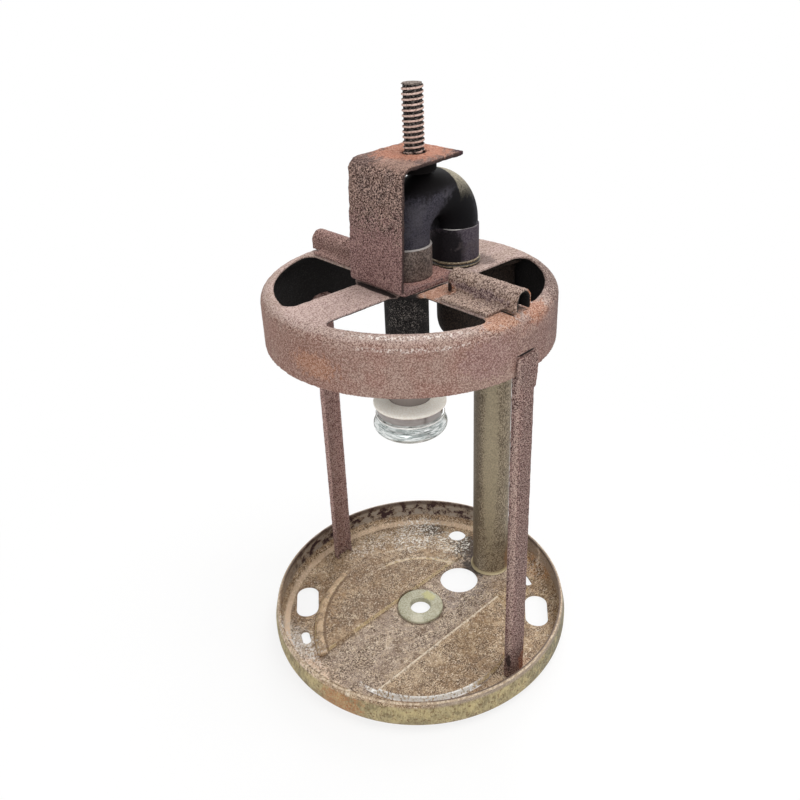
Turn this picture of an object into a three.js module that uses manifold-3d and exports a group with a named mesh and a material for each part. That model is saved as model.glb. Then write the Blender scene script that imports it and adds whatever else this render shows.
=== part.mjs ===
// Burner frame of a single mantle pressure lantern.
// Millimetres, +Z up. The origin is the centre of the pan's underside, which the frame stands on.
// The two tubes stand along +X, and the legs and saddles along -Y (front) and +Y (rear).

import * as THREE from 'three';
import { mergeVertices } from 'three/addons/utils/BufferGeometryUtils.js';
import Module from 'manifold-3d';

const wasm = await Module();
wasm.setup();

// Clearances and facet counts
const seam = 0.1;
const fit = 0.15;
const overrun = 2;
const ringSides = 64;
const discSteps = 16;
const tubeSides = 28;
const smallSides = 24;
const arcSteps = 5;
const bendSteps = 17;

// Top ring: a pressed hoop with a web of four spokes
const ringRadius = 42;
const ringTop = 124.8;
const ringDepth = 16;
const ringSheet = 1;
const ringEdgeRadius = 3.4;
const ringLedge = 3.9;
const hubRadius = 17;
const spokeWidth = 13.8;
const chamberSpokeWidth = 23.2;
const windowCorner = 3;
const hubCorner = 0.8;

// Base pan: a shallow dish with a channel pressed across it between two plateaus
const panMargin = 7.5;
const panHeight = 10.7;
const panSheet = 1;
const panCornerRadius = 6;
const rimTuck = 0.8;
const rimTuckDepth = 4;
const channelWidth = 22.3;
const channelOffset = 4.25;
const plateauRise = 1.2;
const plateauRun = 1.1;
const plateauCorner = 1.5;
const frontOutlineRadius = 30.75;
const frontOutlineX = -6.1;
const frontOutlineY = -7;
const rearGutterWidth = 7.2;
const rearOutlineShift = 8.2;
const rearShelfStart = 5.7;
const rearShelfRadius = 31.4;
const rearTerraceRadius = 24.4;
const shelfShare = 0.5;
const beadWidth = 2.3;
const beadRise = 0.5;
const beadEdge = 0.5;
const beadEndX = -9;
const ventRadius = 40.8;
const ventWidth = 8.5;
const ventLength = 15.6;
const ventCorner = 3.6;
const ventAngle = 130.5;
const notchRadius = 41.2;
const notchWidth = 3.2;
const notchLength = 5.4;
const notchAngle = 154;
const drainRadius = 3.3;
const drainPlaceRadius = 41.2;
const drainAngle = 25.2;
const generatorHoleRadius = 6.85;

// Bushing in the pan's centre hole
const bushingRadius = 7.9;
const bushingBore = 3.5;
const bushingWall = 0.9;
const bushingFlange = 0.8;
const bushingChamfer = 0.3;

// Legs: channels pressed from strip, with a flat tab at the head
const legWidth = 7;
const legDepth = 2.8;
const legSheet = 0.7;
const legBendRadius = 1.1;
const legTurn = 1.6;
const legHeadGap = 0.6;
const tabWidth = 8.8;
const tabLap = 5.3;
const tabShoulder = 5.2;
const tabCorner = 1.5;
const footTabWidth = 4.4;

// Hairpin tube and the sleeves at its feet
const centreLegX = -0.5;
const legSpacing = 20.2;
const hairpinRadius = 6.2;
const hairpinWall = 0.8;
const sleeveWall = 0.45;
const sleeveHeight = 11.7;
const bendMargin = 1.5;
const collarHeight = 9.2;
const lipWidth = 0.25;
const lipHeight = 0.7;
const ferruleWall = 0.45;
const ferruleHeight = 1.9;

// Bracket over the hairpin, bent from one strip, and its stud
const bracketSheet = 1.2;
const bracketWidth = 21;
const bracketBend = 3.4;
const bracketWallFoot = 13;
const bracketWallHead = 11.1;
const bracketFootGap = 3.1;
const bracketHeadEnd = 11.4;
const bracketClearance = 3.5;
const bracketHeadRise = 1;
const studX = 3.3;
const studRadius = 3.1;
const studLength = 17.8;
const studChamfer = 0.7;
const studHeadRadius = 5;
const studHeadHeight = 1.5;
const studHeadGap = 0.35;

// Saddles: hat sections lying on the front and rear spokes
const saddleSheet = 1;
const archRadius = 3;
const archRise = 3.1;
const saddleGap = 0.9;
const archStart = 4.4;
const archEndInset = 2.4;
const saddleFlangeInset = 7.6;
const frontSaddleShift = 2.3;
const rearSaddleShift = 1;
const archSlot = 1.3;

// Mixing chamber: an oval cup under the wide spoke, drawn in like a funnel over the generator's
// inlet and with a neck for the air tube
const chamberRadius = 6.3;
const chamberSheet = 0.8;
const chamberDepth = 22.5;
const chamberCorner = 2.2;
const chamberFlange = 3;
const chamberGap = 0.3;
const funnelHeight = 6.1;
const funnelFootRadius = 3.5;
const inletWall = 0.45;
const inletLip = 1.6;
const neckDepth = 5;

// Air tube, standing in the pan and holding the chamber's neck
const airTubeRadius = 6.33;
const airTubeWall = 0.6;
const airTubeAngle = -3.9;
const airBeadWidth = 0.8;
const airBeadHeight = 0.9;

// Down tube and the burner at its foot
const downTubeRadius = 6.45;
const downTubeWall = 0.8;
const downTubeShiftX = -0.4;
const downTubeY = 0.6;
const burnerTop = 86.3;
const burnerFlangeRadius = 11.2;
const burnerFlangeHeight = 2;
const burnerFlangeEdge = 0.7;
const burnerNeckRadius = 10.1;
const burnerNeckHeight = 3.5;
const burnerLipRadius = 10.7;
const bulbRadius = 11.45;
const bulbHeight = 6.2;
const bulbWall = 1;
const bulbMouthRadius = 7.6;
const downTubeTuck = 3;
const gauzeSheet = 0.5;
const gauzeSpacing = 1.1;

// Places that follow from the sizes above
const panRadius = ringRadius + panMargin;
const ringBottom = ringTop - ringDepth;
const webUnderside = ringTop - ringSheet;
const legFaceRadius = ringRadius + seam + legSheet;
const outerLegX = centreLegX + legSpacing;
const sleeveBore = hairpinRadius + fit;
const sleeveRadius = sleeveBore + sleeveWall;
const chamberEndRadius = airTubeRadius + seam;
const airTubePlaceRadius = ringRadius - ringSheet - chamberGap - chamberEndRadius;
const airTubeX = airTubePlaceRadius * Math.cos(THREE.MathUtils.degToRad(airTubeAngle));
const airTubeY = airTubePlaceRadius * Math.sin(THREE.MathUtils.degToRad(airTubeAngle));
const airTubeBore = airTubeRadius - airTubeWall;
const chamberBottom = ringTop - ringSheet - chamberDepth;
const bracketFoot = ringTop + seam;
const bracketFloor = bracketFoot + bracketSheet;
const bracketFootEnd = outerLegX - sleeveRadius - fit - ferruleWall - bracketFootGap;
const downTubeX = centreLegX + downTubeShiftX;
const bendStart = ringTop + sleeveHeight + bendMargin;
const bendRadius = legSpacing / 2;
const hairpinTop = bendStart + bendRadius + hairpinRadius;
const bracketHead = hairpinTop + bracketClearance + bracketSheet;
const bracketHeadSlope = bracketHeadRise / (bracketHeadEnd + bracketWallHead);
const studBase = bracketHead + bracketHeadSlope * (studX + bracketWallHead);
const burnerFlangeFoot = burnerTop - burnerFlangeHeight;
const neckTop = burnerFlangeFoot - seam;
const neckFoot = neckTop - burnerNeckHeight;
const bulbFoot = neckFoot - bulbHeight;

// Points along an arc, with angles in degrees
function arc(centreX, centreY, radius, fromAngle, toAngle, steps = arcSteps) {
  const points = [];
  for (let i = 0; i <= steps; i += 1) {
    const angle = THREE.MathUtils.degToRad(fromAngle + ((toAngle - fromAngle) * i) / steps);
    points.push(new THREE.Vector2(centreX + radius * Math.cos(angle), centreY + radius * Math.sin(angle)));
  }
  return points;
}

function point(x, y) {
  return new THREE.Vector2(x, y);
}

function angleOf(x, y) {
  return THREE.MathUtils.radToDeg(Math.atan2(y, x));
}

// A manifold solid from a closed geometry; the triangles that a pole leaves without area go
function solid(geometry) {
  geometry.deleteAttribute('normal');
  geometry.deleteAttribute('uv');
  const merged = mergeVertices(geometry);
  const corners = merged.index.array;
  const triangles = [];
  for (let i = 0; i < corners.length; i += 3) {
    const [a, b, c] = corners.subarray(i, i + 3);
    if (a !== b && b !== c && c !== a) {
      triangles.push(a, b, c);
    }
  }
  return new wasm.Manifold(new wasm.Mesh({
    numProp: 3,
    vertProperties: merged.attributes.position.array,
    triVerts: new Uint32Array(triangles),
  }));
}

// A profile of radius and height turned about +Z
function revolve(profile, sides = tubeSides) {
  const points = THREE.ShapeUtils.isClockWise(profile) ? [...profile].reverse() : [...profile];
  points.push(points[0]);
  return solid(new THREE.LatheGeometry(points, sides).rotateX(Math.PI / 2));
}

// A washer or tube between two heights
function tube(outerRadius, innerRadius, from, to, sides = tubeSides) {
  return revolve([point(innerRadius, from), point(outerRadius, from), point(outerRadius, to),
    point(innerRadius, to)], sides);
}

// A round bar between two heights, standing at x, y
function bar(radius, from, to, x = 0, y = 0, sides = tubeSides) {
  const geometry = new THREE.CylinderGeometry(radius, radius, to - from, sides);
  return solid(geometry.rotateX(Math.PI / 2).translate(x, y, (from + to) / 2));
}

function block(fromX, toX, fromY, toY, fromZ, toZ) {
  const geometry = new THREE.BoxGeometry(toX - fromX, toY - fromY, toZ - fromZ);
  return solid(geometry.translate((fromX + toX) / 2, (fromY + toY) / 2, (fromZ + toZ) / 2));
}

// An outline in X and Y raised between two heights
function raise(outline, from, to) {
  const geometry = new THREE.ExtrudeGeometry(new THREE.Shape(outline), {
    depth: to - from,
    bevelEnabled: false,
    curveSegments: 1,
  });
  return solid(geometry.translate(0, 0, from));
}

// An outline in X and Z drawn out along Y
function drawOut(outline, from, to) {
  const geometry = new THREE.ExtrudeGeometry(new THREE.Shape(outline), {
    depth: to - from,
    bevelEnabled: false,
    curveSegments: 1,
  });
  return solid(geometry.rotateX(Math.PI / 2).translate(0, to, 0));
}

// A solid through outlines of equal point counts, each at its own height, lowest first
function loft(outlines, heights) {
  const count = outlines[0].length;
  const positions = outlines.flatMap((outline, level) => outline.flatMap((p) => [p.x, p.y, heights[level]]));
  const index = [];
  for (let level = 0; level + 1 < outlines.length; level += 1) {
    for (let i = 0; i < count; i += 1) {
      const a = level * count + i;
      const b = level * count + ((i + 1) % count);
      index.push(a, b, b + count, a, b + count, a + count);
    }
  }
  const topLevel = (outlines.length - 1) * count;
  for (const [a, b, c] of THREE.ShapeUtils.triangulateShape(outlines[0], [])) {
    index.push(a, c, b);
  }
  for (const [a, b, c] of THREE.ShapeUtils.triangulateShape(outlines.at(-1), [])) {
    index.push(topLevel + a, topLevel + b, topLevel + c);
  }
  const geometry = new THREE.BufferGeometry();
  geometry.setAttribute('position', new THREE.Float32BufferAttribute(positions, 3));
  geometry.setIndex(index);
  return solid(geometry);
}

// The section of a strip bent to the right at each inner corner of its outer face
function bentStrip(corners, thickness, bendOuterRadius) {
  const outer = [];
  const inner = [];
  const directions = corners.slice(1).map((corner, i) => corner.clone().sub(corners[i]).normalize());
  const normals = directions.map((direction) => point(direction.y, -direction.x));
  outer.push(corners[0]);
  inner.push(corners[0].clone().addScaledVector(normals[0], thickness));
  for (let i = 1; i + 1 < corners.length; i += 1) {
    const [before, after] = [normals[i - 1], normals[i]];
    const toCentre = before.clone().add(after).multiplyScalar(bendOuterRadius / (1 + before.dot(after)));
    const centre = corners[i].clone().add(toCentre);
    const fromAngle = angleOf(-before.x, -before.y);
    const turn = THREE.MathUtils.radToDeg(Math.acos(before.dot(after)));
    outer.push(...arc(centre.x, centre.y, bendOuterRadius, fromAngle, fromAngle - turn));
    inner.push(...arc(centre.x, centre.y, bendOuterRadius - thickness, fromAngle, fromAngle - turn));
  }
  outer.push(corners.at(-1));
  inner.push(corners.at(-1).clone().addScaledVector(normals.at(-1), thickness));
  return [...outer, ...inner.reverse()];
}

// A rectangle about the origin with round corners
function roundedRectangle(width, height, corner) {
  const x = width / 2 - corner;
  const y = height / 2 - corner;
  return [...arc(x, y, corner, 0, 90), ...arc(-x, y, corner, 90, 180),
    ...arc(-x, -y, corner, 180, 270), ...arc(x, -y, corner, 270, 360)];
}

// The part of a disc beyond the line y = edge, with both corners rounded
function discBeyond(edge, radius, corner) {
  const y = edge + corner;
  const x = Math.sqrt((radius - corner) ** 2 - y ** 2);
  const angle = angleOf(x, y);
  return [...arc(0, 0, radius, angle, 180 - angle, discSteps),
    ...arc(-x, y, corner, 180 - angle, 270), ...arc(x, y, corner, -90, angle)];
}

// One window of the web, beyond the spoke edges x = sideX and y = sideY
function windowOutline(sideX, sideY) {
  const outer = ringRadius - ringLedge;
  const lowX = Math.sqrt((outer - windowCorner) ** 2 - (sideY + windowCorner) ** 2);
  const highY = Math.sqrt((outer - windowCorner) ** 2 - (sideX + windowCorner) ** 2);
  const lowAngle = angleOf(lowX, sideY + windowCorner);
  const highAngle = angleOf(sideX + windowCorner, highY);
  const hubReach = hubRadius + hubCorner;
  const hubLow = THREE.MathUtils.radToDeg(Math.asin((sideY + hubCorner) / hubReach));
  const hubHigh = THREE.MathUtils.radToDeg(Math.acos((sideX + hubCorner) / hubReach));
  const hubSide = hubLow < hubHigh
    ? [...arc(sideX + hubCorner, hubReach * Math.sin(THREE.MathUtils.degToRad(hubHigh)), hubCorner,
      180, 180 + hubHigh),
    ...arc(0, 0, hubRadius, hubHigh, hubLow),
    ...arc(hubReach * Math.cos(THREE.MathUtils.degToRad(hubLow)), sideY + hubCorner, hubCorner,
      180 + hubLow, 270)]
    : arc(sideX + hubCorner, sideY + hubCorner, hubCorner, 180, 270);
  return [...arc(lowX, sideY + windowCorner, windowCorner, -90, lowAngle),
    ...arc(0, 0, outer, lowAngle, highAngle, ringSides / 6),
    ...arc(sideX + windowCorner, highY, windowCorner, highAngle, 180),
    ...hubSide];
}

// What lies inside the top ring, drawn in by a clearance
function insideRing(clearance) {
  const radius = ringRadius - ringSheet - clearance;
  const corner = ringEdgeRadius - ringSheet;
  const top = webUnderside - clearance;
  return revolve([point(0, chamberBottom - neckDepth - overrun),
    point(radius, chamberBottom - neckDepth - overrun),
    ...arc(radius - corner, top - corner, corner, 0, 90), point(0, top)], ringSides);
}

function topRing() {
  const hoop = revolve([point(0, ringTop),
    ...arc(ringRadius - ringEdgeRadius, ringTop - ringEdgeRadius, ringEdgeRadius, 90, 0),
    point(ringRadius, ringBottom), point(ringRadius - ringSheet, ringBottom),
    ...arc(ringRadius - ringEdgeRadius, ringTop - ringEdgeRadius, ringEdgeRadius - ringSheet, 0, 90),
    point(0, webUnderside)], ringSides);
  let ring = hoop;
  for (const sideways of [1, -1]) {
    const firstEdge = (sideways > 0 ? chamberSpokeWidth : spokeWidth) / 2;
    for (const along of [1, -1]) {
      const outline = windowOutline(spokeWidth / 2, firstEdge).map((p) => point(p.x * sideways, p.y * along));
      const turned = sideways * along > 0 ? outline : outline.reverse();
      ring = ring.subtract(raise(turned, webUnderside - overrun, ringTop + overrun));
    }
  }
  return ring
    .subtract(bar(downTubeRadius + fit, webUnderside - overrun, ringTop + overrun, downTubeX, downTubeY))
    .subtract(bar(sleeveRadius + fit, webUnderside - overrun, ringTop + overrun, outerLegX));
}

// The plateaus of the pan, drawn in by an inset, clear of the bushing's seat. Their outlines have
// centres of their own, and the rear one steps down to a shelf on its right.
function plateaus(inset, from, foot) {
  const top = foot + plateauRise;
  const frontEdge = channelWidth / 2 + channelOffset + inset;
  const rearEdge = channelWidth / 2 - channelOffset + inset;
  const step = (edge, radius, share = 1) => {
    const run = plateauRun * share;
    const outline = discBeyond(edge, radius - inset, plateauCorner);
    return loft([outline, outline, discBeyond(edge + run, radius - inset - run, plateauCorner - run)],
      [from, foot, foot + plateauRise * share]);
  };
  const front = step(frontEdge + frontOutlineY, frontOutlineRadius).rotate([0, 0, 180])
    .translate([frontOutlineX, frontOutlineY, 0]);
  const rearMain = step(rearEdge + rearOutlineShift, panRadius - rearGutterWidth)
    .translate([0, -rearOutlineShift, 0])
    .intersect(block(-panRadius, rearShelfStart - inset, 0, panRadius, from - overrun, top + overrun));
  const bushingSeat = bar(bushingRadius + fit + 2 * inset, from - overrun, top + overrun);
  return front
    .add(rearMain)
    .add(step(rearEdge, rearTerraceRadius))
    .add(step(rearEdge, rearShelfRadius, shelfShare))
    .subtract(bushingSeat);
}

// The bead that is pressed up along the rear plateau's left edge
function plateauBead() {
  const foot = panSheet + plateauRise;
  const outer = panRadius - rearGutterWidth - plateauRun;
  const inner = outer - beadWidth;
  const start = channelWidth / 2 - channelOffset + plateauRun;
  return revolve([point(inner, foot - panSheet / 2), point(outer, foot - panSheet / 2), point(outer, foot),
    point(outer - beadEdge, foot + beadRise), point(inner + beadEdge, foot + beadRise), point(inner, foot)],
  ringSides)
    .translate([0, -rearOutlineShift, 0])
    .intersect(block(-panRadius, beadEndX, start, panRadius, 0, foot + beadRise + overrun));
}

function basePan() {
  const cornerCentre = panRadius - panCornerRadius;
  const dish = revolve([point(0, 0),
    ...arc(cornerCentre, panCornerRadius, panCornerRadius, -90, 0),
    point(panRadius, panHeight - rimTuckDepth), point(panRadius - rimTuck, panHeight),
    point(panRadius - rimTuck - panSheet, panHeight),
    point(panRadius - panSheet, panHeight - rimTuckDepth),
    ...arc(cornerCentre, panCornerRadius, panCornerRadius - panSheet, 0, -90),
    point(0, panSheet)], ringSides);
  let pan = dish
    .add(plateaus(0, panSheet / 2, panSheet))
    .subtract(plateaus(panSheet / 2, -overrun, 0))
    .add(plateauBead());
  const through = [-overrun, panSheet + plateauRise + overrun];
  for (const angle of [0, 180]) {
    const vent = raise(roundedRectangle(ventWidth, ventLength, ventCorner), ...through)
      .translate([ventRadius, 0, 0]).rotate([0, 0, ventAngle + angle]);
    const notch = raise(roundedRectangle(notchWidth, notchLength, notchWidth / 2), ...through)
      .translate([notchRadius, 0, 0]).rotate([0, 0, notchAngle + angle]);
    const footSlit = block(-footTabWidth / 2 - fit, footTabWidth / 2 + fit, -legFaceRadius - fit,
      -legFaceRadius + legSheet + fit, ...through).rotate([0, 0, legTurn + angle]);
    pan = pan.subtract(vent).subtract(notch).subtract(footSlit);
  }
  return pan
    .subtract(bar(drainRadius, ...through, drainPlaceRadius, 0, smallSides).rotate([0, 0, drainAngle]))
    .subtract(bar(generatorHoleRadius, ...through, outerLegX))
    .subtract(bar(airTubeRadius + fit, ...through, airTubeX, airTubeY))
    .subtract(bar(bushingBore + bushingWall + fit, ...through));
}

function panBushing() {
  const flangeFoot = panSheet + seam;
  const flangeTop = flangeFoot + bushingFlange;
  return revolve([point(bushingBore, seam), point(bushingBore + bushingWall, seam),
    point(bushingBore + bushingWall, flangeFoot), point(bushingRadius, flangeFoot),
    point(bushingRadius, flangeTop - bushingChamfer), point(bushingRadius - bushingChamfer, flangeTop),
    point(bushingBore + bushingChamfer, flangeTop), point(bushingBore, flangeTop - bushingChamfer)]);
}

// A leg with its outer face on y = 0 and its flanges towards +Y
function leg() {
  const foot = panSheet + seam;
  const half = legWidth / 2;
  const section = bentStrip([point(half, legDepth), point(half, 0), point(-half, 0),
    point(-half, legDepth)], legSheet, legBendRadius);
  const tabTop = ringBottom + tabLap;
  const tabSide = tabWidth / 2;
  const tab = [point(-tabSide, ringBottom), point(-half, ringBottom - tabShoulder),
    point(half, ringBottom - tabShoulder), point(tabSide, ringBottom),
    ...arc(tabSide - tabCorner, tabTop - tabCorner, tabCorner, 0, 90),
    ...arc(-tabSide + tabCorner, tabTop - tabCorner, tabCorner, 90, 180)];
  return raise(section, foot, ringBottom - legHeadGap)
    .add(drawOut(tab, 0, legSheet))
    .add(block(-footTabWidth / 2, footTabWidth / 2, 0, legSheet, seam, foot + legSheet));
}

// A saddle on the front spoke, its arch moved sideways by a shift
function saddle(shift) {
  const base = ringTop + seam;
  const plateTop = base + saddleSheet;
  const archCentre = base + archRise;
  const plateStart = -bracketWidth / 2 - saddleGap;
  const from = plateStart - archStart;
  const to = -ringRadius + archEndInset;
  const flangeEnd = -ringRadius + saddleFlangeInset;
  const innerRadius = archRadius - saddleSheet;
  const archOutline = (radius, foot) => [point(shift - radius, foot), point(shift + radius, foot),
    ...arc(shift, archCentre, radius, 0, 180, 2 * arcSteps)];
  return block(-spokeWidth / 2, spokeWidth / 2, flangeEnd, plateStart, base, plateTop)
    .add(drawOut(archOutline(archRadius, base + archSlot), to, from))
    .add(drawOut(archOutline(archRadius, base), flangeEnd, from))
    .subtract(drawOut(archOutline(innerRadius, base - overrun), to - overrun, from + overrun));
}

function bracket() {
  const section = bentStrip([point(bracketFootEnd, bracketFoot), point(-bracketWallFoot, bracketFoot),
    point(-bracketWallHead, bracketHead), point(bracketHeadEnd, bracketHead + bracketHeadRise)],
  bracketSheet, bracketBend);
  return drawOut(section, -bracketWidth / 2, bracketWidth / 2)
    .subtract(bar(downTubeRadius + fit, bracketFoot - overrun, bracketFloor + overrun, downTubeX, downTubeY))
    .subtract(bar(studRadius + fit, studBase - bracketSheet - overrun, studBase + overrun, studX));
}

// The stud, with its head under the bracket and the bracket's top face at its height there
function stud() {
  const headTop = studBase - bracketSheet - studHeadGap;
  const top = studBase + studLength;
  return revolve([point(0, headTop - studHeadHeight),
    point(studHeadRadius - studChamfer, headTop - studHeadHeight),
    point(studHeadRadius, headTop - studHeadHeight + studChamfer), point(studHeadRadius, headTop),
    point(studRadius, headTop), point(studRadius, top - studChamfer),
    point(studRadius - studChamfer, top), point(0, top)], smallSides);
}

// Up one leg, over the bend and down the other
class HairpinPath extends THREE.Curve {
  getPoint(share, target = new THREE.Vector3()) {
    const foot = bracketFloor + seam;
    const straight = bendStart - foot;
    const total = 2 * straight + Math.PI * bendRadius;
    const way = share * total;
    if (way <= straight) {
      return target.set(centreLegX, 0, foot + way);
    }
    if (way >= total - straight) {
      return target.set(outerLegX, 0, foot + total - way);
    }
    const angle = Math.PI - (way - straight) / bendRadius;
    return target.set(centreLegX + bendRadius * (1 + Math.cos(angle)), 0,
      bendStart + bendRadius * Math.sin(angle));
  }
}

function hairpinTube() {
  const section = new THREE.Shape(arc(0, 0, hairpinRadius, 0, 360, tubeSides).slice(1));
  section.holes.push(new THREE.Path(arc(0, 0, hairpinRadius - hairpinWall, 0, 360, tubeSides).slice(1)));
  return solid(new THREE.ExtrudeGeometry(section, {
    steps: bendSteps,
    curveSegments: 1,
    extrudePath: new HairpinPath(),
  }));
}

// A thin sleeve with a small rolled lip at its top
function sleeve(from, to) {
  return revolve([point(sleeveBore, from), point(sleeveRadius, from),
    point(sleeveRadius, to - lipHeight), point(sleeveRadius + lipWidth, to - lipHeight / 2),
    point(sleeveRadius, to), point(sleeveBore, to)]);
}

// The outline round both ends of the chamber, each with its own radius
function chamberOutline(inletEnd, airEnd) {
  const apart = Math.hypot(airTubeX - outerLegX, airTubeY);
  const lean = THREE.MathUtils.radToDeg(Math.asin((airEnd - inletEnd) / apart));
  const heading = angleOf(airTubeX - outerLegX, airTubeY);
  return [
    ...arc(airTubeX, airTubeY, airEnd, heading - 90 - lean, heading + 90 + lean, tubeSides / 2),
    ...arc(outerLegX, 0, inletEnd, heading + 90 + lean, heading + 270 - lean, tubeSides / 2),
  ];
}

// A cup with a round corner below the air tube's end and a funnel below the inlet's end
function chamberCup(inset, bottom, top) {
  const corner = chamberCorner - inset;
  const slope = (chamberRadius - funnelFootRadius) / funnelHeight;
  const levels = arc(0, 0, corner, -90, 0, arcSteps - 2).map(({ x, y }) => [bottom + corner + y,
    chamberEndRadius - inset - corner + x]);
  levels.push([chamberBottom + funnelHeight, chamberEndRadius - inset], [top, chamberEndRadius - inset]);
  const inletEnd = (height) => Math.min(chamberRadius, funnelFootRadius + slope * (height - chamberBottom));
  return loft(levels.map(([height, airEnd]) => chamberOutline(inletEnd(height) - inset, airEnd)),
    levels.map(([height]) => height));
}

function mixingChamber() {
  const rimTop = webUnderside - seam;
  const neckRadius = airTubeBore - fit;
  const flange = chamberOutline(chamberRadius + chamberFlange, chamberEndRadius + chamberFlange);
  const shell = chamberCup(0, chamberBottom, rimTop)
    .add(raise(flange, rimTop - chamberSheet, rimTop))
    .add(bar(neckRadius, chamberBottom - neckDepth, chamberBottom + chamberCorner, airTubeX, airTubeY))
    .add(bar(funnelFootRadius, chamberBottom - inletLip, chamberBottom + chamberSheet, outerLegX));
  return shell
    .subtract(chamberCup(chamberSheet, chamberBottom + chamberSheet, rimTop + overrun))
    .subtract(bar(neckRadius - chamberSheet, chamberBottom - neckDepth - overrun,
      chamberBottom + chamberCorner + overrun, airTubeX, airTubeY))
    .subtract(bar(funnelFootRadius - inletWall, chamberBottom - inletLip - overrun,
      chamberBottom + overrun, outerLegX))
    .intersect(insideRing(seam));
}

function airTube() {
  const beadFoot = panSheet + seam;
  const beadTop = beadFoot + airBeadHeight;
  return revolve([point(airTubeBore, seam), point(airTubeRadius, seam), point(airTubeRadius, beadFoot),
    point(airTubeRadius + airBeadWidth, beadFoot), point(airTubeRadius + airBeadWidth / 2, beadTop),
    point(airTubeRadius, beadTop), point(airTubeRadius, chamberBottom - seam),
    point(airTubeBore, chamberBottom - seam)]);
}

// The shoulder on the down tube's foot, domed on top
function burnerFlange() {
  const bore = downTubeRadius + fit;
  const domeWidth = burnerFlangeRadius - bore;
  const domeHeight = burnerFlangeHeight - burnerFlangeEdge;
  const dome = arc(0, 0, 1, 0, 90).map((share) => point(bore + domeWidth * share.x,
    burnerFlangeFoot + burnerFlangeEdge + domeHeight * share.y));
  return revolve([point(bore, burnerFlangeFoot), point(burnerFlangeRadius, burnerFlangeFoot), ...dome]);
}

// The bulb's outline from its lip, over its widest stretch, to its mouth, drawn in by an inset
function bulbProfile(inset) {
  const widest = neckFoot - bulbHeight / 2;
  const under = arc(0, 0, 1, 0, -60, 3).map((share) => point(
    bulbMouthRadius + (bulbRadius - bulbMouthRadius) * share.x - inset,
    widest + (widest - bulbFoot - inset) * share.y));
  return [point(burnerLipRadius - inset, neckFoot), ...under];
}

function burnerCap() {
  const innerNeck = burnerNeckRadius - bulbWall;
  return revolve([point(downTubeRadius + fit, neckTop), point(burnerNeckRadius, neckTop),
    point(burnerNeckRadius, neckFoot + bulbWall / 2), ...bulbProfile(0),
    point(bulbMouthRadius, bulbFoot), ...bulbProfile(bulbWall).reverse(),
    point(innerNeck, neckFoot + bulbWall / 2), point(innerNeck, neckTop - bulbWall),
    point(downTubeRadius + fit, neckTop - bulbWall)]);
}

// A gauze disc held across the bulb near its widest stretch
function gauze(place) {
  const middle = neckFoot - bulbHeight / 2 + gauzeSpacing * (1 - place);
  return bar(burnerLipRadius - bulbWall - fit, middle, middle + gauzeSheet);
}

function material(color, roughness, metalness) {
  return new THREE.MeshStandardMaterial({ color, roughness, metalness });
}

const scaledSteel = material(0xa3857c, 0.92, 0.25);
const paleScaledSteel = material(0xb59a8f, 0.92, 0.2);
const charcoalTube = material(0x3b3a3d, 0.6, 0.5);
const sootedTube = material(0x26221f, 0.85, 0.3);
const oliveTube = material(0x84785a, 0.5, 0.6);
const platedPan = material(0xa08a68, 0.7, 0.45);
const paleZinc = material(0xbfbf98, 0.55, 0.5);
const greyCollar = material(0x6d645c, 0.6, 0.5);
const dullBrass = material(0x9a8558, 0.5, 0.7);
const creamCeramic = material(0xcfc8b4, 0.6, 0);
const silveredCap = material(0xb9b6ae, 0.3, 0.7);
const wireGauze = material(0x57504a, 0.7, 0.6);

const burnerFrame = new THREE.Group();

function addPiece(name, piece, finish, x = 0, y = 0, turn = 0) {
  const mesh = piece.getMesh();
  const geometry = new THREE.BufferGeometry();
  geometry.setAttribute('position', new THREE.BufferAttribute(mesh.vertProperties, 3));
  geometry.setIndex(new THREE.BufferAttribute(mesh.triVerts, 1));
  geometry.computeVertexNormals();
  const node = new THREE.Mesh(geometry, finish);
  node.name = name;
  node.position.set(x, y, 0);
  node.rotation.z = THREE.MathUtils.degToRad(turn);
  burnerFrame.add(node);
}

addPiece('base_pan', basePan(), platedPan);
addPiece('pan_bushing', panBushing(), paleZinc);
for (const [name, turn] of [['front_leg', legTurn], ['rear_leg', legTurn + 180]]) {
  addPiece(name, leg().translate([0, -legFaceRadius, 0]), scaledSteel, 0, 0, turn);
}
addPiece('air_tube', airTube(), oliveTube, airTubeX, airTubeY);
addPiece('top_ring', topRing(), paleScaledSteel);
for (const [name, shift, turn] of [['front_saddle', frontSaddleShift, 0], ['rear_saddle', rearSaddleShift, 180]]) {
  addPiece(name, saddle(shift), paleScaledSteel, 0, 0, turn);
}
addPiece('bracket', bracket(), scaledSteel);
addPiece('stud', stud(), scaledSteel, studX);
addPiece('hairpin_tube', hairpinTube(), charcoalTube);
addPiece('centre_collar', sleeve(bracketFloor + seam, bracketFloor + collarHeight), greyCollar, centreLegX);
addPiece('outer_sleeve', sleeve(webUnderside + seam, ringTop + sleeveHeight), charcoalTube, outerLegX);
addPiece('outer_ferrule', tube(sleeveRadius + fit + ferruleWall, sleeveRadius + fit, ringTop + seam,
  ringTop + ferruleHeight), dullBrass, outerLegX);
addPiece('mixing_chamber', mixingChamber(), sootedTube);
addPiece('down_tube', tube(downTubeRadius, downTubeRadius - downTubeWall, neckTop - downTubeTuck, bracketFloor),
  sootedTube, downTubeX, downTubeY);
addPiece('burner_flange', burnerFlange(), creamCeramic, downTubeX, downTubeY);
addPiece('burner_cap', burnerCap(), silveredCap, downTubeX, downTubeY);
for (const place of [0, 1]) {
  addPiece(`gauze_${place + 1}`, gauze(place), wireGauze, downTubeX, downTubeY);
}

export default burnerFrame;
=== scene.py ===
"""Looks of a single mantle lantern's burner frame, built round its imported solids.

Sizes and places are in millimetres until they reach Blender, which works in metres. The origin is
the centre of the pan's underside, +Z is up, the tubes stand along +X and the legs along -Y and +Y.
"""

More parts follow.
